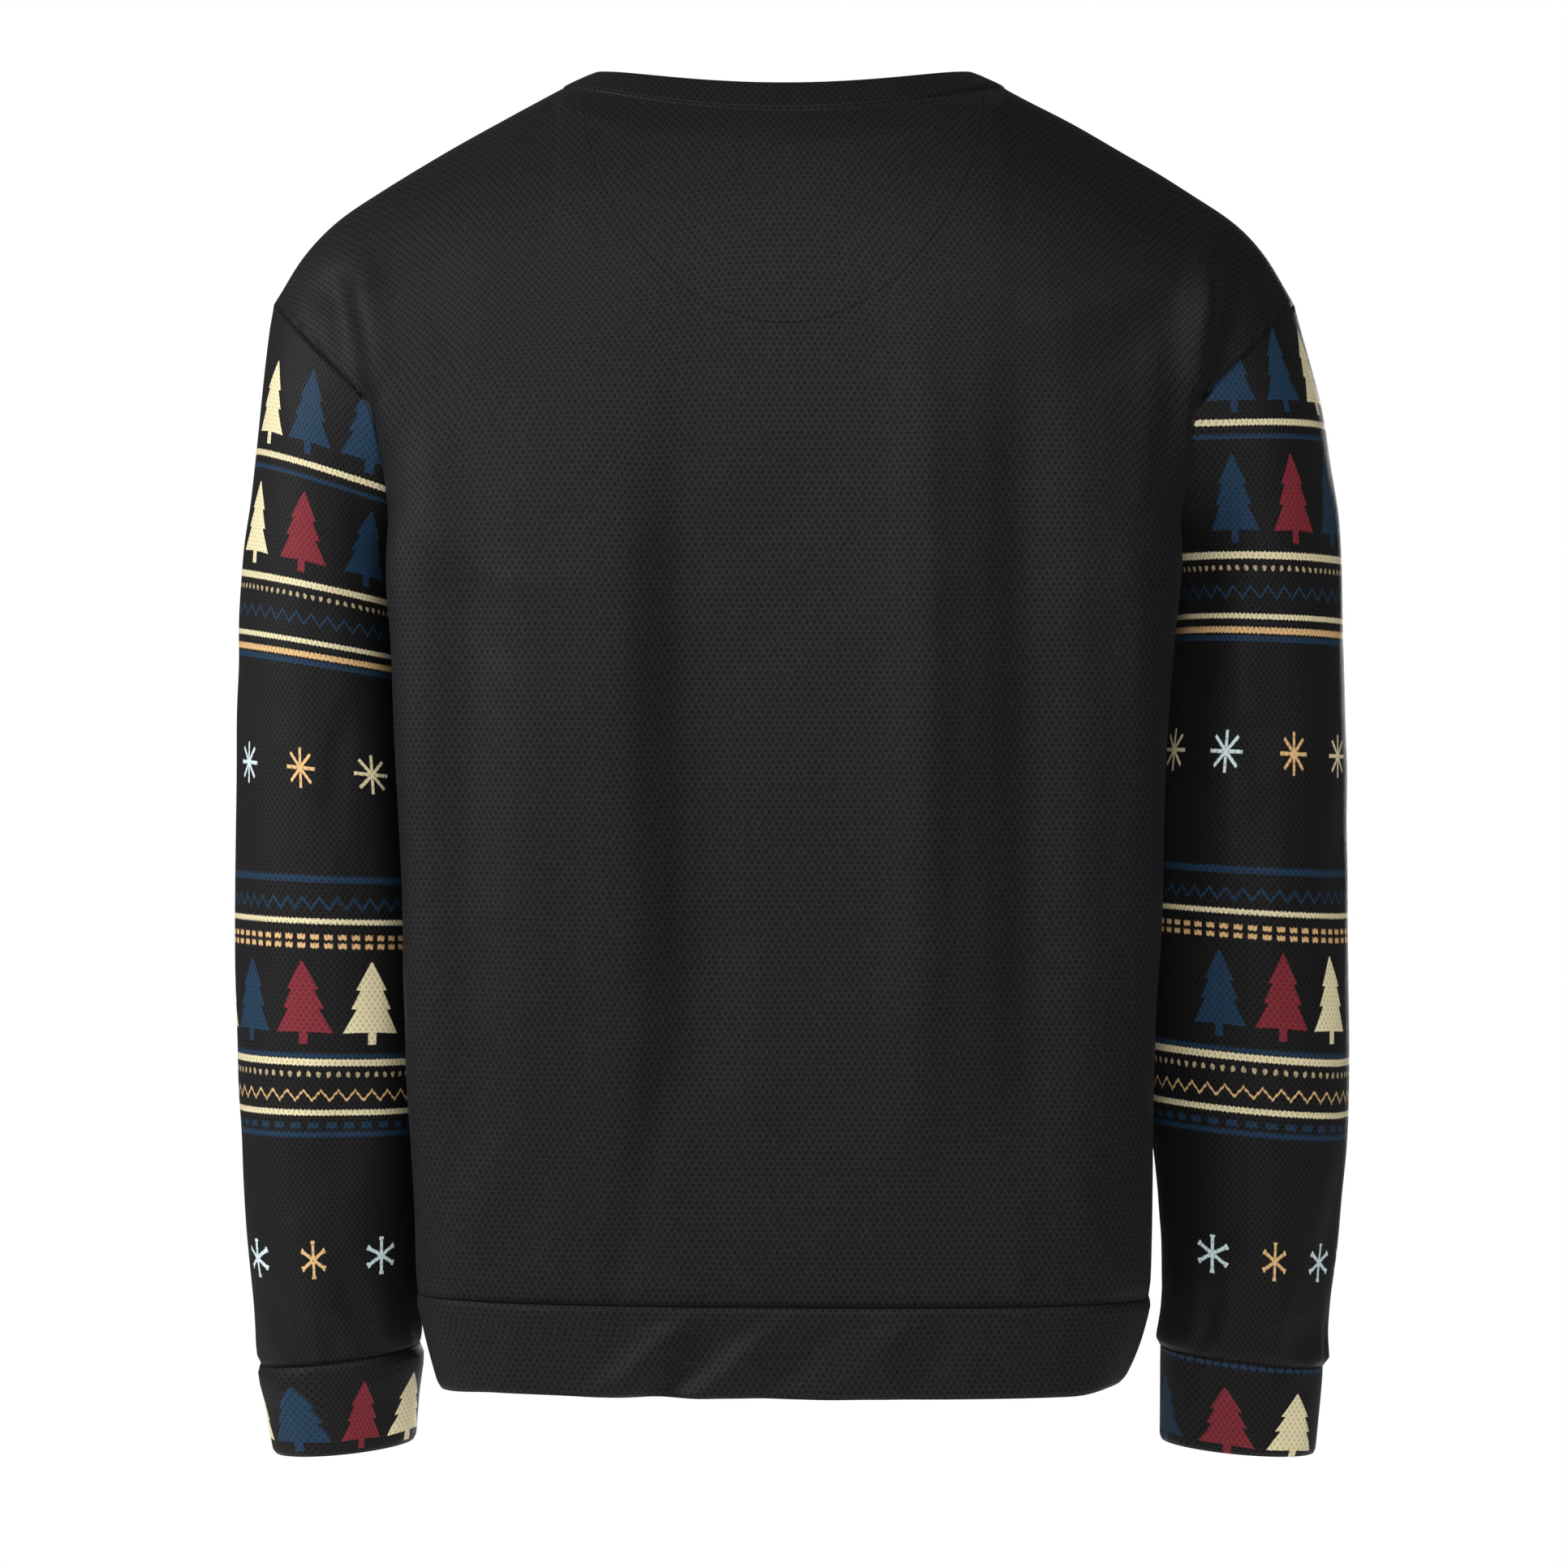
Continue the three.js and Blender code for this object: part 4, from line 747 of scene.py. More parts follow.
class Draft:
    """A material's node tree. Sockets and plain numbers both serve as inputs."""

    def __init__(self, name, roughness, sheen):
        self.material = bpy.data.materials.new(name)
        self.material.use_nodes = True
        self.tree = self.material.node_tree
        self.shader = self.tree.nodes["Principled BSDF"]
        self.shader.inputs["Roughness"].default_value = roughness
        self.shader.inputs["Sheen Weight"].default_value = sheen
        self.shader.inputs["Sheen Roughness"].default_value = 0.6
        self.shader.inputs["Specular IOR Level"].default_value = GLOSS
        self.u, self.v = self.parts(self.add("ShaderNodeUVMap", uv_map="cloth").outputs["UV"])[:2]
        self.near = self.parts(self.add("ShaderNodeAttribute", attribute_name="near").outputs["Vector"])
        self.place = self.add("ShaderNodeTexCoord").outputs["Object"]

    def add(self, kind, inputs=(), **settings):
        """Adds a node, sets it, and links or fills its inputs, given by name or place."""
        node = self.tree.nodes.new(kind)
        for key, value in settings.items():
            setattr(node, key, value)
        for key, value in dict(inputs).items():
            if isinstance(value, bpy.types.NodeSocket):
                self.tree.links.new(value, node.inputs[key])
            else:
                node.inputs[key].default_value = value
        return node

    def parts(self, vector):
        """The three parts of a vector."""
        return self.add("ShaderNodeSeparateXYZ", {0: vector}).outputs

    def math(self, operation, *values):
        """One Math node."""
        return self.add("ShaderNodeMath", dict(enumerate(values)), operation=operation).outputs[0]

    def both(self, first, second):
        """The product: where both masks are 1."""
        return self.math("MULTIPLY", first, second)

    def either(self, first, second):
        """The greater: where one of the masks is 1."""
        return self.math("MAXIMUM", first, second)

    def less(self, value, taken):
        """value - taken."""
        return self.math("SUBTRACT", value, taken)

    def scaled(self, value, times, plus):
        """value x times + plus."""
        return self.math("MULTIPLY_ADD", value, times, plus)

    def there_and_back(self, value, half):
        """A triangle wave: the distance from the nearest whole number of 2 x half."""
        return self.math("PINGPONG", value, half)

    def distance(self, across, down):
        """The square root of across squared + down squared."""
        return self.math("SQRT", self.math("ADD", self.both(across, across), self.both(down, down)))

    def step(self, value, start, stop):
        """0 at start and 1 at stop, smoothly."""
        inputs = {"Value": value, "From Min": start, "From Max": stop}
        return self.add("ShaderNodeMapRange", inputs, interpolation_type="SMOOTHSTEP").outputs["Result"]

    def mix(self, share, under, over):
        """One colour over another. A Mix node's colours are its inputs 6 and 7 and its output 2."""
        inputs = {"Factor": share, 6: under, 7: over}
        return self.add("ShaderNodeMix", inputs, data_type="RGBA").outputs[2]

    def noise(self, vector, scale, detail):
        """Noise from 0 to 1 at so many waves a metre."""
        inputs = {"Vector": vector, "Scale": scale, "Detail": detail}
        return self.add("ShaderNodeTexNoise", inputs).outputs["Fac"]

    def wave(self, value, period):
        """A cosine of a distance, from -1 to 1."""
        return self.math("COSINE", self.both(value, 2 * math.pi / period))

    def within(self, value, centre, half, soft=0.5):
        """1 where value lies within half of centre."""
        return self.step(self.math("ABSOLUTE", self.less(value, centre)), half + soft, half - soft)

    def lattice(self, pitch, row):
        """Staggered bumps: 1 at the dots, -1 between them."""
        return self.both(self.wave(self.u, pitch), self.wave(self.v, 2 * row))

    def dots(self, u, v, centre, pitch, half_wide, half_tall):
        """A row of ovals at an even pitch."""
        across = self.math("DIVIDE", self.there_and_back(u, pitch / 2), half_wide)
        along = self.math("DIVIDE", self.less(v, centre), half_tall)
        square = self.math("ADD", self.both(across, across), self.both(along, along))
        return self.step(square, 1.3, 0.7)

    def blocks(self, u, v, centre, pitch, half_wide, half_tall):
        """A row of oblongs at an even pitch."""
        across = self.step(self.there_and_back(u, pitch / 2), half_wide + 0.3, half_wide - 0.3)
        return self.both(across, self.within(v, centre, half_tall, 0.3))

    def zigzag(self, u, v, centre, period, peak, stroke):
        """A stroke along a triangle wave."""
        tooth = self.scaled(self.there_and_back(u, period / 2), 2 * peak / period, centre - peak / 2)
        return self.within(v, tooth, stroke / 2, 0.4)

    def stitches(self, distance, along, at):
        """A line of short threads at a distance from a seam."""
        line = self.within(distance, at, 0.35, 0.25)
        return self.both(line, self.step(self.there_and_back(along, 1.5), 0.15, 0.5))

    def finish(self, tint, height, gloss=None):
        """Links colour, relief in millimetres and, where given, gloss."""
        if gloss is not None:
            self.tree.links.new(gloss, self.shader.inputs["Specular IOR Level"])
        bump = self.add("ShaderNodeBump", {"Height": height, "Distance": 0.001, "Strength": 1.0})
        self.tree.links.new(tint, self.shader.inputs["Base Color"])
        self.tree.links.new(bump.outputs[0], self.shader.inputs["Normal"])
        return self.material


# The print's inks, the dyed knit and its dots, the sewing threads, and a painted highlight for the bands'
# seams.
CREAM = colour("#e6d9b0")
OAT = colour("#b9a982")
BLUE = colour("#18334a")
RED = colour("#77262f")
PEACH = colour("#dfb67f")
ICE = colour("#d2e4e6")
BODY_BLACK = colour("#0e0e11")
BODY_DOT = colour("#040405")
SLEEVE_BLACK = colour("#121011")
SLEEVE_DOT = colour("#050505")
THREAD = colour("#3a3a3c")
NEEDLE_LINE = colour("#050505")
# A painted highlight: lighter grey than the knit, laid along the bands' seams.
ROPE_HIGHLIGHT = colour("#4c4c50")


def knit_relief(draft):
    """Fine ribs of the knitted face, with a slow unevenness of the cloth."""
    ribs = draft.both(draft.wave(draft.u, 1.0), draft.wave(draft.v, 1.4))
    fuzz = draft.noise(draft.place, 900.0, 3.0)
    slow = draft.noise(draft.place, 26.0, 3.0)
    relief = draft.scaled(ribs, 0.03, draft.both(fuzz, 0.06))
    return draft.scaled(slow, 0.5, relief), slow, fuzz


def seam_relief(draft, relief, distance):
    """Cloth rolls down into a seam, with a slight rise beside it."""
    dip = draft.both(draft.step(distance, 0.9, 0.0), -0.15)
    rise = draft.both(draft.within(distance, 2.6, 0.4, 1.4), 0.15)
    return draft.math("ADD", relief, draft.math("ADD", dip, rise))


def ground(draft, pitch, row, start, stop):
    """The printed dots of the ground, and the gloss, which is lower on them."""
    spots = draft.step(draft.lattice(pitch, row), start, stop)
    return spots, draft.scaled(spots, -0.55 * GLOSS, GLOSS)


def moon_stitch(draft, tint, relief):
    """The half ellipse of stitches that holds the half-moon facing, in a shallow groove.

    (x / half width) squared + ((neck seam z at x - z) / drop) squared = 1, on Object coordinates.
    """
    x, _, z = draft.parts(draft.place)
    across = draft.math("DIVIDE", x, HALF_MOON["halfWidth"] / METRE)
    seam = draft.scaled(draft.both(x, x), NECK_SEAM_RISE, NECK_SEAM["backZ"] / METRE)
    down = draft.math("DIVIDE", draft.less(seam, z), HALF_MOON["drop"] / METRE)
    reach = draft.distance(across, down)
    angle = draft.math("ARCTAN2", down, across)
    broken = draft.step(draft.there_and_back(angle, 0.015), 0.0, 0.003)
    line = draft.both(draft.within(reach, 1.0, 0.0035, 0.003), broken)
    tint = draft.mix(draft.both(line, 0.9), tint, NEEDLE_LINE)
    groove = draft.within(reach, 1.0, 0.002, 0.006)
    return tint, draft.scaled(groove, -0.25, relief)


def body_knit(name, stitch_line=None, rope_highlight=0.0, moon=False):
    """Black knit printed with a staggered mesh of darker dots, and its seams.

    stitch_line is a line of needle stitches at a distance from the first row; rope_highlight is the strength
    of a painted highlight along the seam of a band, a lighter line drawn as a twisted cord where the band's
    top edge catches the light.
    """
    draft = Draft(name, *KNIT)
    relief, _, fuzz = knit_relief(draft)
    spots, gloss = ground(draft, 3.7, 2.9, 0.05, 0.95)
    tint = draft.mix(draft.both(draft.step(fuzz, 0.45, 0.75), 0.2), BODY_BLACK, THREAD)
    tint = draft.mix(draft.both(spots, 0.72), tint, BODY_DOT)
    relief = draft.scaled(spots, -0.08, relief)
    for distance in draft.near:
        relief = seam_relief(draft, relief, distance)
    from_seam = draft.near[0]
    if stitch_line:
        thread = draft.stitches(from_seam, draft.u, stitch_line)
        tint = draft.mix(draft.both(thread, 0.7), tint, NEEDLE_LINE)
        relief = draft.scaled(draft.within(from_seam, stitch_line, 0.5, 0.5), -0.2, relief)
    if rope_highlight:
        # Painted highlight: a lighter twisted line along the seam, where the band's top edge catches the
        # light.
        twist = draft.step(draft.wave(draft.u, 1.5), -0.6, 0.4)
        highlight_cord = draft.both(draft.within(from_seam, 0.9, 0.5, 0.4), twist)
        tint = draft.mix(draft.both(highlight_cord, rope_highlight), tint, ROPE_HIGHLIGHT)
        relief = draft.scaled(highlight_cord, 0.12, relief)
    if moon:
        tint, relief = moon_stitch(draft, tint, relief)
    return draft.finish(tint, relief, gloss)


# The sleeve print. v is the level below the neck base, on the sleeve's outer line; u is the
# distance round the sleeve from that line. Plain lines: colour, level and half width.
LINES = (
    (CREAM, 193.4, 1.6), (BLUE, 200.8, 1.3), (CREAM, 262.2, 1.8), (CREAM, 294.4, 1.3),
    (PEACH, 301.8, 1.6), (BLUE, 306.2, 1.5), (BLUE, 427.0, 1.9), (CREAM, 450.0, 1.4),
    (BLUE, 523.0, 1.2), (CREAM, 526.6, 1.8), (CREAM, 554.6, 1.5), (BLUE, 566.8, 1.5),
)
# Rows of motifs: kind, level of the top of a tree or the middle of a snowflake and height; then for
# the left and for the right sleeve the first column, the pitch and three colours from it inwards.
MOTIFS = (
    ("tree", 142.0, 46.0, (42.0, 35.0, (CREAM, BLUE, BLUE)), (29.5, 33.5, (CREAM, BLUE, BLUE))),
    ("tree", 209.6, 46.0, (36.5, 40.0, (CREAM, RED, BLUE)), (32.0, 33.5, (BLUE, RED, BLUE))),
    ("eight", 365.3, 22.6, (37.5, 37.0, (ICE, PEACH, CREAM)), (31.5, 35.3, (CREAM, PEACH, ICE))),
    ("tree", 471.6, 45.0, (38.0, 34.5, (BLUE, RED, CREAM)), (41.5, 30.0, (CREAM, RED, BLUE))),
    ("six", 636.6, 21.5, (36.0, 40.0, (ICE, PEACH, ICE)), (40.0, 34.2, (ICE, PEACH, ICE))),
)
# The rows whose fourth column is bare, by level, and the sides it is bare on.
BARE = {209.6: (-1,), 471.6: (-1,), 636.6: (1, -1)}
# The cuffs' row, by side: the first column, the pitch, the level of the tops and the colours.
CUFF_ROW = {1: (50.0, 36.0, 708.0, (BLUE, RED, CREAM)), -1: (50.0, 36.0, 710.5, (CREAM, RED, BLUE))}
# Snowflakes by kind: the number of arms, half the width of a stroke, and the size of an arm's knob.
ARMS = {"eight": (8, 0.95, 0.05), "six": (6, 1.0, 0.8)}
# How many times narrower than tall a snowflake is, by kind and colour.
NARROW = {"eight": {ICE: 1.35, PEACH: 1.5, CREAM: 1.15}, "six": {ICE: 1.0, PEACH: 1.5}}


def grey(value):
    """A ramp colour that holds one value."""
    return (value, value, value, 1)


def column_colour(draft, u, first, pitch, colours):
    """The colour of the nearest column, in a cycle of three."""
    place = draft.math("ROUND", draft.math("DIVIDE", draft.less(u, first), pitch))
    third = draft.math("DIVIDE", draft.math("ADD", draft.math("WRAP", place, 3.0, 0.0), 0.5), 3.0)
    ramp = draft.add("ShaderNodeValToRGB", {0: third})
    ramp.color_ramp.interpolation = "CONSTANT"
    ramp.color_ramp.elements[1].position = 1 / 3
    ramp.color_ramp.elements.new(2 / 3)
    for element, tint in zip(ramp.color_ramp.elements, colours):
        element.color = tint
    return ramp.outputs[0]


# Half width of a tree at shares of its height: three tiers and a trunk.
TREE_OUTLINE = (
    (0.0, 0.4), (0.33, 8.2), (0.335, 5.9), (0.555, 10.7), (0.56, 8.0), (0.845, 14.9), (0.85, 2.2),
    (1.0, 2.2),
)
# What the outline's half widths are divided by, because a ramp holds 0 to 1.
OUTLINE_FULL = 20.0


def tree(draft, u, v, first, pitch, top, tall, slim=1.0):
    """1 inside a tree: nearer to its column's middle than the outline is at that height."""
    aside = draft.both(draft.there_and_back(draft.less(u, first), pitch / 2), slim)
    drooped = draft.scaled(aside, -0.07, v)
    share = draft.math("DIVIDE", draft.less(drooped, top), tall)
    outline = draft.add("ShaderNodeValToRGB", {0: share})
    ramp = outline.color_ramp
    ramp.elements[0].position, ramp.elements[1].position = TREE_OUTLINE[0][0], TREE_OUTLINE[-1][0]
    for place, _ in TREE_OUTLINE[1:-1]:
        ramp.elements.new(place)
    for element, (_, half) in zip(ramp.elements, TREE_OUTLINE):
        element.color = grey(half / OUTLINE_FULL)
    margin = draft.less(draft.both(outline.outputs[0], OUTLINE_FULL), aside)
    inside = draft.step(margin, -0.35, 0.35)
    return draft.both(inside, draft.within(share, 0.5, 0.5, 0.004))


def snowflake(draft, u, v, first, pitch, centre, tall, narrow, arms, stroke, knob):
    """1 on a snowflake: straight arms from a small hub, with knobs at their ends."""
    across = draft.math("WRAP", draft.less(u, first), pitch / 2, -pitch / 2)
    # A ramp holds 0 to 1, so it carries half of each.
    halves = column_colour(draft, u, first, pitch, [grey(times / 2) for times in narrow])
    across = draft.both(across, draft.both(halves, 2.0))
    down = draft.less(v, centre)
    reach = draft.distance(across, down)
    turn = draft.there_and_back(draft.math("ARCTAN2", across, down), math.pi / arms)
    along = draft.both(reach, draft.math("COSINE", turn))
    aside = draft.both(reach, draft.math("SINE", turn))
    end = tall / 2
    thin = draft.step(aside, stroke + 0.3, stroke - 0.3)
    drawn = draft.both(thin, draft.step(along, end + 0.3, end - 0.3))
    thick = draft.step(aside, stroke + knob, stroke + knob - 0.5)
    tip = draft.both(draft.within(along, end - knob, knob, 0.3), thick)
    hub = draft.step(reach, 2.0 + knob, 1.4 + knob)
    return draft.either(draft.either(drawn, hub), tip)


def print_finish(draft, tint, printed, relief, fuzz):
    """The dots of the ground show through the print, and ink sits unevenly on the knit."""
    spots, gloss = ground(draft, 3.1, 2.3, 0.05, 0.8)
    tint = draft.mix(draft.both(draft.step(fuzz, 0.5, 0.8), 0.15), tint, SLEEVE_DOT)
    tint = draft.mix(draft.both(spots, draft.scaled(printed, -0.2, 0.55)), tint, SLEEVE_DOT)
    return tint, draft.scaled(spots, -0.06, relief), gloss


def sleeve_knit(name, side):
    """Black knit with printed lines, dots, zigzags, trees and snowflakes."""
    draft = Draft(name, *KNIT)
    relief, slow, fuzz = knit_relief(draft)
    ragged = draft.scaled(draft.less(fuzz, 0.5), 1.1, draft.v)
    u = draft.scaled(draft.less(slow, 0.5), 0.8, draft.u)
    v = draft.scaled(draft.wave(u, 2.2), 0.28, ragged)
    layers = []
    for shade, level, half in LINES:
        layers.append((draft.within(v, level, half, 0.35), shade))
    layers.append((draft.dots(u, v, 268.9, 4.7, 1.15, 1.4), OAT))
    layers.append((draft.zigzag(u, v, 281.6, 9.3, 6.0, 2.0), BLUE))
    layers.append((draft.zigzag(u, v, 440.4, 8.2, 6.0, 2.4), BLUE))
    for level in (458.5, 463.2):
        layers.append((draft.blocks(u, v, level, 6.6, 2.0, 1.35), PEACH))
    layers.append((draft.dots(u, v, 533.2, 5.0, 1.15, 1.6), OAT))
    layers.append((draft.zigzag(u, v, 545.0, 9.0, 5.6, 1.5), PEACH))
    layers.append((draft.blocks(u, v, 561.8, 9.6, 2.9, 1.7), BLUE))
    tint = SLEEVE_BLACK
    printed = 0.0
    for mask, shade in layers:
        tint = draft.mix(mask, tint, shade)
        printed = draft.either(mask, printed)
    ticks = draft.both(draft.step(draft.wave(u, 1.15), 0.1, 0.9), printed)
    tint = draft.mix(draft.both(ticks, 0.3), tint, SLEEVE_DOT)
    for kind, level, tall, left, right in MOTIFS:
        first, pitch, colours = left if side > 0 else right
        if kind == "tree":
            mask = tree(draft, u, ragged, first, pitch, level, tall, 1.0 if side > 0 else 1.14)
        else:
            narrow = [NARROW[kind][shade] for shade in colours]
            mask = snowflake(draft, u, ragged, first, pitch, level, tall, narrow, *ARMS[kind])
        if side in BARE.get(level, ()):
            bare = draft.within(u, first + 3 * pitch, pitch / 2 - 1, 0.5)
            mask = draft.both(mask, draft.less(1.0, bare))
        tint = draft.mix(mask, tint, column_colour(draft, u, first, pitch, colours))
        printed = draft.either(mask, printed)
    tint, relief, gloss = print_finish(draft, tint, printed, relief, fuzz)
    relief = seam_relief(draft, relief, draft.near[0])
    relief = seam_relief(draft, relief, draft.near[1])
    return draft.finish(tint, relief, gloss)


def cuff_knit(name, side):
    """Black doubled band printed with a row of trees; the right one has blue dots at its seam."""
    draft = Draft(name, *KNIT)
    relief, _, fuzz = knit_relief(draft)
    ragged = draft.scaled(draft.less(fuzz, 0.5), 1.1, draft.v)
    first, pitch, top, colours = CUFF_ROW[side]
    mask = tree(draft, draft.u, ragged, first, pitch, top, 36.5)
    tint = draft.mix(mask, SLEEVE_BLACK, column_colour(draft, draft.u, first, pitch, colours))
    if side < 0:
        small = draft.dots(draft.u, draft.near[0], 3.6, 4.3, 1.8, 1.4)
        tint = draft.mix(small, tint, BLUE)
        mask = draft.either(mask, small)
    tint, relief, gloss = print_finish(draft, tint, mask, relief, fuzz)
    relief = seam_relief(draft, relief, draft.near[0])
    return draft.finish(tint, relief, gloss)


def fleece_back(name):
    """The brushed inner side: soft black fleece with no print."""
    draft = Draft(name, *FLEECE)
    nap = draft.noise(draft.place, 420.0, 4.0)
    tint = draft.mix(nap, colour("#1b1b1c"), colour("#303032"))
    return draft.finish(tint, draft.both(nap, 0.5))


# ---------- pieces ----------
# Brushed fleece inside; smooth black sweatshirt knit outside; the facing's needle stitches; and
# the doubled bands, whose seams carry a painted highlight drawn as a twisted cord.
fleece = fleece_back("black_fleece_back")
back_knit = body_knit("black_dotted_knit_back", moon=True)
front_knit = body_knit("black_dotted_knit_front")
facing_knit = body_knit("black_facing_knit", stitch_line=2.4)
hem_knit = body_knit("black_hem_knit", rope_highlight=0.7)
neck_knit = body_knit("black_neckband_knit", stitch_line=3.6, rope_highlight=0.6)


def dress(piece, node):
    """Puts the cloth in place of its solid, which it hides."""
    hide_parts(node)
    return piece


# Towards the shoulders the dots of a panel go over to even ones: the levels where that begins, the
# heights over which it comes about, X's stretch, and the rise for each unit off the middle.
DOTS_ACROSS = dict(level=-190, over=60, stretch=1.04)
DOTS_RISE = dict(level=-175, over=90, slope=0.18, offMiddle=90)


def panel(name, face, material):
    """The back or front: its dots follow distances along the cloth, evened out at the shoulders."""
    outer = face_surface(face)
    away = panel_normals(outer, face)
    across = cumulative(outer * (1, 1, 0), 1)
    across -= across[:, HALF_COLUMNS][:, None]
    evened = ease((outer[..., 2] - DOTS_ACROSS["level"]) / DOTS_ACROSS["over"])
    across = lerp(across, outer[..., 0] * DOTS_ACROSS["stretch"], evened)
    up = cumulative(outer, 0)
    rise = cumulative(outer * (0, 1, 1), 0)
    off_middle = np.abs(outer[..., 0])
    evened = ease((outer[..., 2] - DOTS_RISE["level"]) / DOTS_RISE["over"])
    rise += evened * DOTS_RISE["slope"] * off_middle * ease(off_middle / DOTS_RISE["offMiddle"])
    near = np.stack([up, up[-1:] - up, to_sides(outer)], axis=-1)
    uv = (across, rise, np.zeros((len(outer), 1)))
    piece = cloth(name, outer, away, CLOTH_WALL, False, uv, near, (material, fleece))
    return dress(piece, f"{face}_panel"), outer


def facing(name, material, panel_surface):
    """The half-moon inside the back neck, stitched near its lower edge."""
    outer, away = half_moon_surface(panel_surface, panel_normals(panel_surface, "back"))
    across, up = cumulative(outer, 1), cumulative(outer, 0)
    near = np.stack([up, np.full_like(up, FAR), np.full_like(up, FAR)], axis=-1)
    uv = (across, up, np.zeros((len(outer), 1)))
    piece = cloth(name, outer, away, FACING_WALL, False, uv, near, (material, material))
    return dress(piece, "half_moon_facing"), outer


def ring_uv(outer):
    """Distance round each ring, kept level, with one column more; distance down; and the girths."""
    level = outer * (1, 1, 0)
    around = cumulative(np.concatenate([level, level[:, :1]], axis=1), 1)
    return around, cumulative(outer, 0), around[:, -1:]


def sleeve_uv(outer, v):
    """As ring_uv, with the print's levels v, and the distance taken round one upright ellipse.

    angle = atan2((y - middle y) / half depth, (|x| - middle x) / half width) at the point's level.
    """
    ring = np.concatenate([outer, outer[:, :1]], axis=1)
    wide = (outer[:1, :1, 0] < 0).astype(float)

    def at_level(key, column):
        return np.interp(-ring[..., 2], -SLEEVE[key], SLEEVE[column])

    outer_x = at_level("outZ", "outX") + wide * at_level("outZ", "splayOut")
    inner_x = at_level("inZ", "inX") + wide * at_level("inZ", "splayIn")
    across = (np.abs(ring[..., 0]) - (outer_x + inner_x) / 2) / ((outer_x - inner_x) / 2)
    deep = (ring[..., 1] - at_level("outZ", "y")) / at_level("outZ", "halfDepth")
    angle = np.unwrap(np.arctan2(deep, across), axis=1)
    fine = np.radians(np.arange(-SPARE_TURN, 361 + SPARE_TURN))
    step = np.hypot(GIRTH_HALF["width"] * np.sin(fine), GIRTH_HALF["depth"] * np.cos(fine)) * math.radians(1)
    travelled = np.cumsum(step) - np.cumsum(step)[SPARE_TURN]
    girth = travelled[360 + SPARE_TURN] - travelled[SPARE_TURN]
    return np.interp(angle, fine, travelled), v, np.full((len(outer), 1), girth)


def cuff_uv(outer, side):
    """As sleeve_uv, with the distance eased as CUFF_TURN says, so that the trees spread or crowd."""
    around, v, _ = sleeve_uv(outer, print_levels(outer, side))
    girth = np.full((len(outer), 1), float(CUFF_GIRTH))
    return np.interp(around, CUFF_TURN[WORDS[side]], CUFF_TURN["print"]), v, girth


def tube(name, node, outer, wall, uv, materials):
    """A sleeve or a band, closed round."""
    down = cumulative(outer, 0)
    near = np.stack([down, down[-1:] - down, np.full_like(down, FAR)], axis=-1)
    piece = cloth(name, outer, outward(outer), wall, True, uv, near, materials)
    return dress(piece, node), outer


# How the print hangs on each sleeve: the level on the outer line, the fall of its lines towards
# the body in degrees, and how far its rows lie from their usual levels.
HANG = {
    1: table(
        "level tilt shift",
        (100, 18, 0), (195, 17.5, 0), (262, 12, 0), (302, 9.4, 0), (430, 2.2, 0), (530, 1.2, 0),
        (640, -2, 0), (700, -4, 0),
    ),
    -1: table(
        "level tilt shift",
        (100, 4, -11), (187, 1.8, -9), (256, -1, -5), (300, -1.9, -4), (424, -2.8, 0), (470, -4, 0),
        (530, -5, 3), (567, -5, 4), (640, -6, 3), (700, -7, 3),
    ),
}
# How far round each cuff its print lies: places on the print, and the distances round the left
# and the right sleeve's end where they fall. CUFF_GIRTH is the print's repeat round a cuff.
CUFF_TURN = table(
    "print left right",
    (-55, -60, -60), (6, 0, 0), (38.5, 34, 30), (61.5, 78, 66), (74.5, 91.5, 83), (97.5, 113, 112),
    (110.5, 125, 136), (133.5, 163, 165), (324, 330, 330), (394, 400, 400),
)
CUFF_GIRTH = 324


def print_levels(outer, side):
    """The print's level at every point, found by following its tilted lines to the outer line."""
    hang = HANG[side]
    inward = np.maximum(OUTER_LINE_X - side * outer[..., 0], 0)
    level = -outer[..., 2]
    for _ in range(12):
        fall = np.tan(np.radians(np.interp(level, hang["level"], hang["tilt"]))) * inward
        level = -outer[..., 2] - fall
    return level - np.interp(level, hang["level"], hang["shift"])


sheets = [panel("back_panel_knit", "back", back_knit), panel("front_panel_knit", "front", front_knit)]
sheets.append(facing("half_moon_facing_knit", facing_knit, sheets[0][1]))
for side, word in WORDS.items():
    surface = sleeve_surface(side)
    uv = sleeve_uv(surface, print_levels(surface, side))
    cloths = (sleeve_knit(f"{word}_sleeve_printed_knit", side), fleece)
    sheets.append(tube(f"{word}_sleeve_knit", f"{word}_sleeve", surface, CLOTH_WALL, uv, cloths))
    surface = cuff_surface(side)
    uv = cuff_uv(surface, side)
    cloths = (cuff_knit(f"{word}_cuff_printed_knit", side), fleece)
    sheets.append(tube(f"{word}_cuff_band", f"{word}_cuff", surface, BAND_WALL, uv, cloths))
for node, surface, knit in (("hem_band", hem_surface(), hem_knit), ("neckband", neck_surface(), neck_knit)):
    sheets.append(tube(f"{node}_knit", node, surface, BAND_WALL, ring_uv(surface), (knit, knit)))

# ---------- studio ----------
FLOOR_Z = -1.15
FLOOR_CORNERS = 96
# The middle of the garment, which the lamps face.
AIM = (0, 0, -0.38)


def disc(name, radius, z):
    """A flat round floor."""
    turn = np.linspace(0, 2 * np.pi, FLOOR_CORNERS, endpoint=False)
    rim = points(radius * np.cos(turn), radius * np.sin(turn), z)
    mesh = bpy.data.meshes.new(name)
    mesh.from_pydata(rim.tolist(), [], [list(range(FLOOR_CORNERS))])
    piece = bpy.data.objects.new(name, mesh)
    bpy.context.scene.collection.objects.link(piece)
    return piece


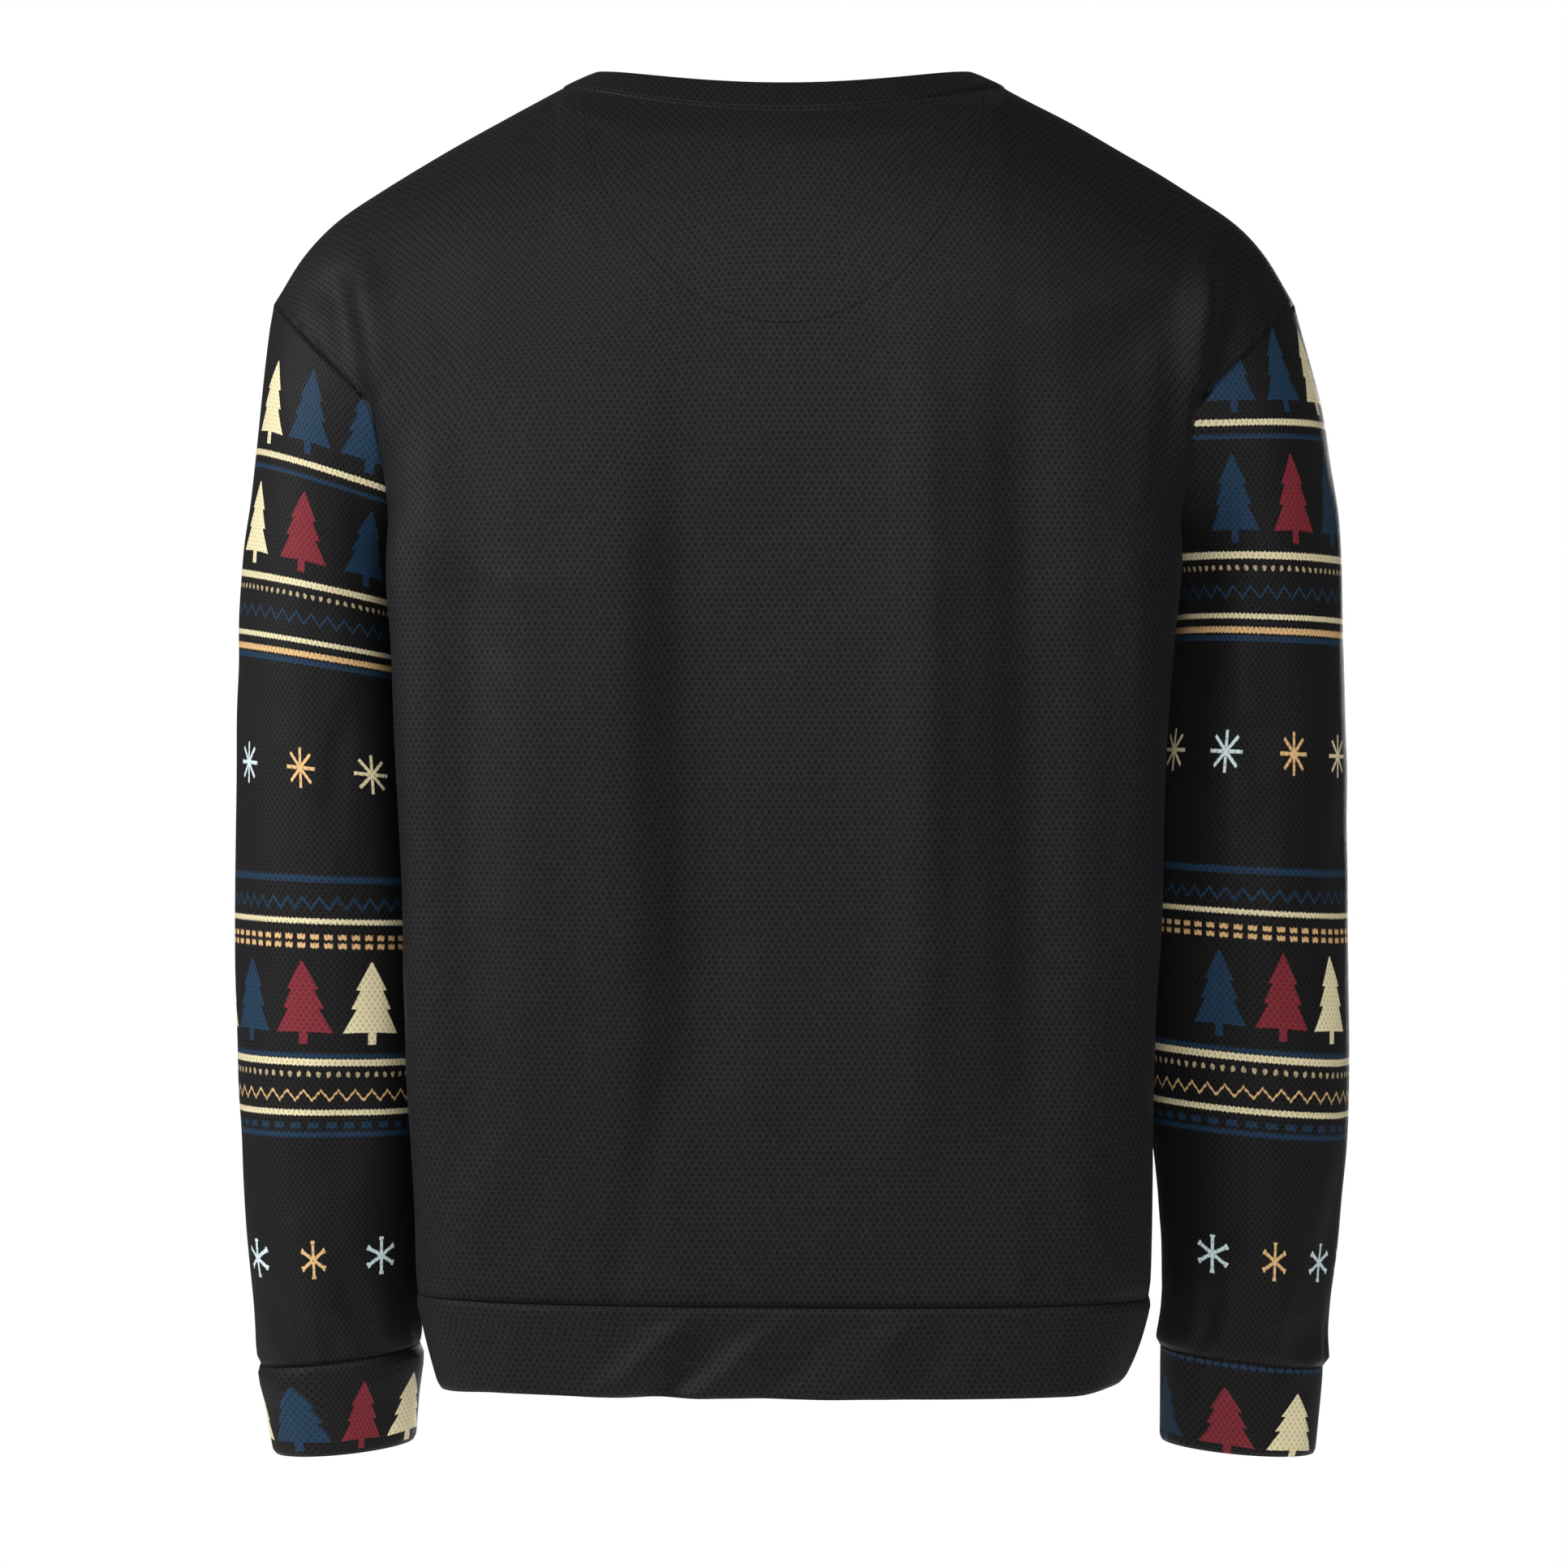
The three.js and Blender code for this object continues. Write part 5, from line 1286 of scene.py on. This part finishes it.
# Matt pale studio paint.
floor = disc("pale_floor", 1.6, FLOOR_Z)
floor_paint = bpy.data.materials.new("pale_floor_paint")
floor_paint.use_nodes = True
paint = floor_paint.node_tree.nodes["Principled BSDF"]
paint.inputs["Base Color"].default_value = colour("#f4f4f4")
paint.inputs["Roughness"].default_value = 0.9
floor.data.materials.append(floor_paint)

# The studio is white to the eye, and lights the cloth more softly than its lamps do.
world = bpy.data.worlds.new("white_studio")
world.use_nodes = True
studio = world.node_tree
seen = studio.nodes["Background"]
seen.inputs["Color"].default_value = (1, 1, 1, 1)
seen.inputs["Strength"].default_value = 1.0
lighting = studio.nodes.new("ShaderNodeBackground")
lighting.inputs["Strength"].default_value = 0.14
chosen = studio.nodes.new("ShaderNodeMixShader")
studio.links.new(studio.nodes.new("ShaderNodeLightPath").outputs["Is Camera Ray"], chosen.inputs[0])
studio.links.new(lighting.outputs[0], chosen.inputs[1])
studio.links.new(seen.outputs[0], chosen.inputs[2])
studio.links.new(chosen.outputs[0], studio.nodes["World Output"].inputs["Surface"])
bpy.context.scene.world = world
bpy.context.scene.view_settings.view_transform = "Standard"


def softbox(name, place, size, watts):
    """A square area light that faces the garment."""
    light = bpy.data.lights.new(name, "AREA")
    light.size = size
    light.energy = watts
    lamp = bpy.data.objects.new(name, light)
    lamp.location = place
    back = np.array(place, float) - np.array(AIM, float)
    back /= np.linalg.norm(back)
    right = np.cross((0, 0, 1), back)
    right /= np.linalg.norm(right)
    up = np.cross(back, right)
    lamp.rotation_euler = Matrix(np.stack([right, up, back], axis=1).tolist()).to_euler()
    bpy.context.scene.collection.objects.link(lamp)
    return lamp


softbox("key_light", (2.6, 1.1, 0.75), 0.8, 76)
softbox("back_fill", (-0.3, 2.3, 0.7), 1.2, 44)
softbox("front_light", (-0.8, -2.2, -0.2), 1.0, 70)

camera = bpy.data.cameras.new("camera")
camera.lens = 92.5
camera.sensor_width = 36
eye = bpy.data.objects.new("camera", camera)
eye.location = (0, 2.2, -0.3783)
eye.rotation_euler = (math.radians(90), 0, math.radians(180))
bpy.context.scene.collection.objects.link(eye)
bpy.context.scene.camera = eye
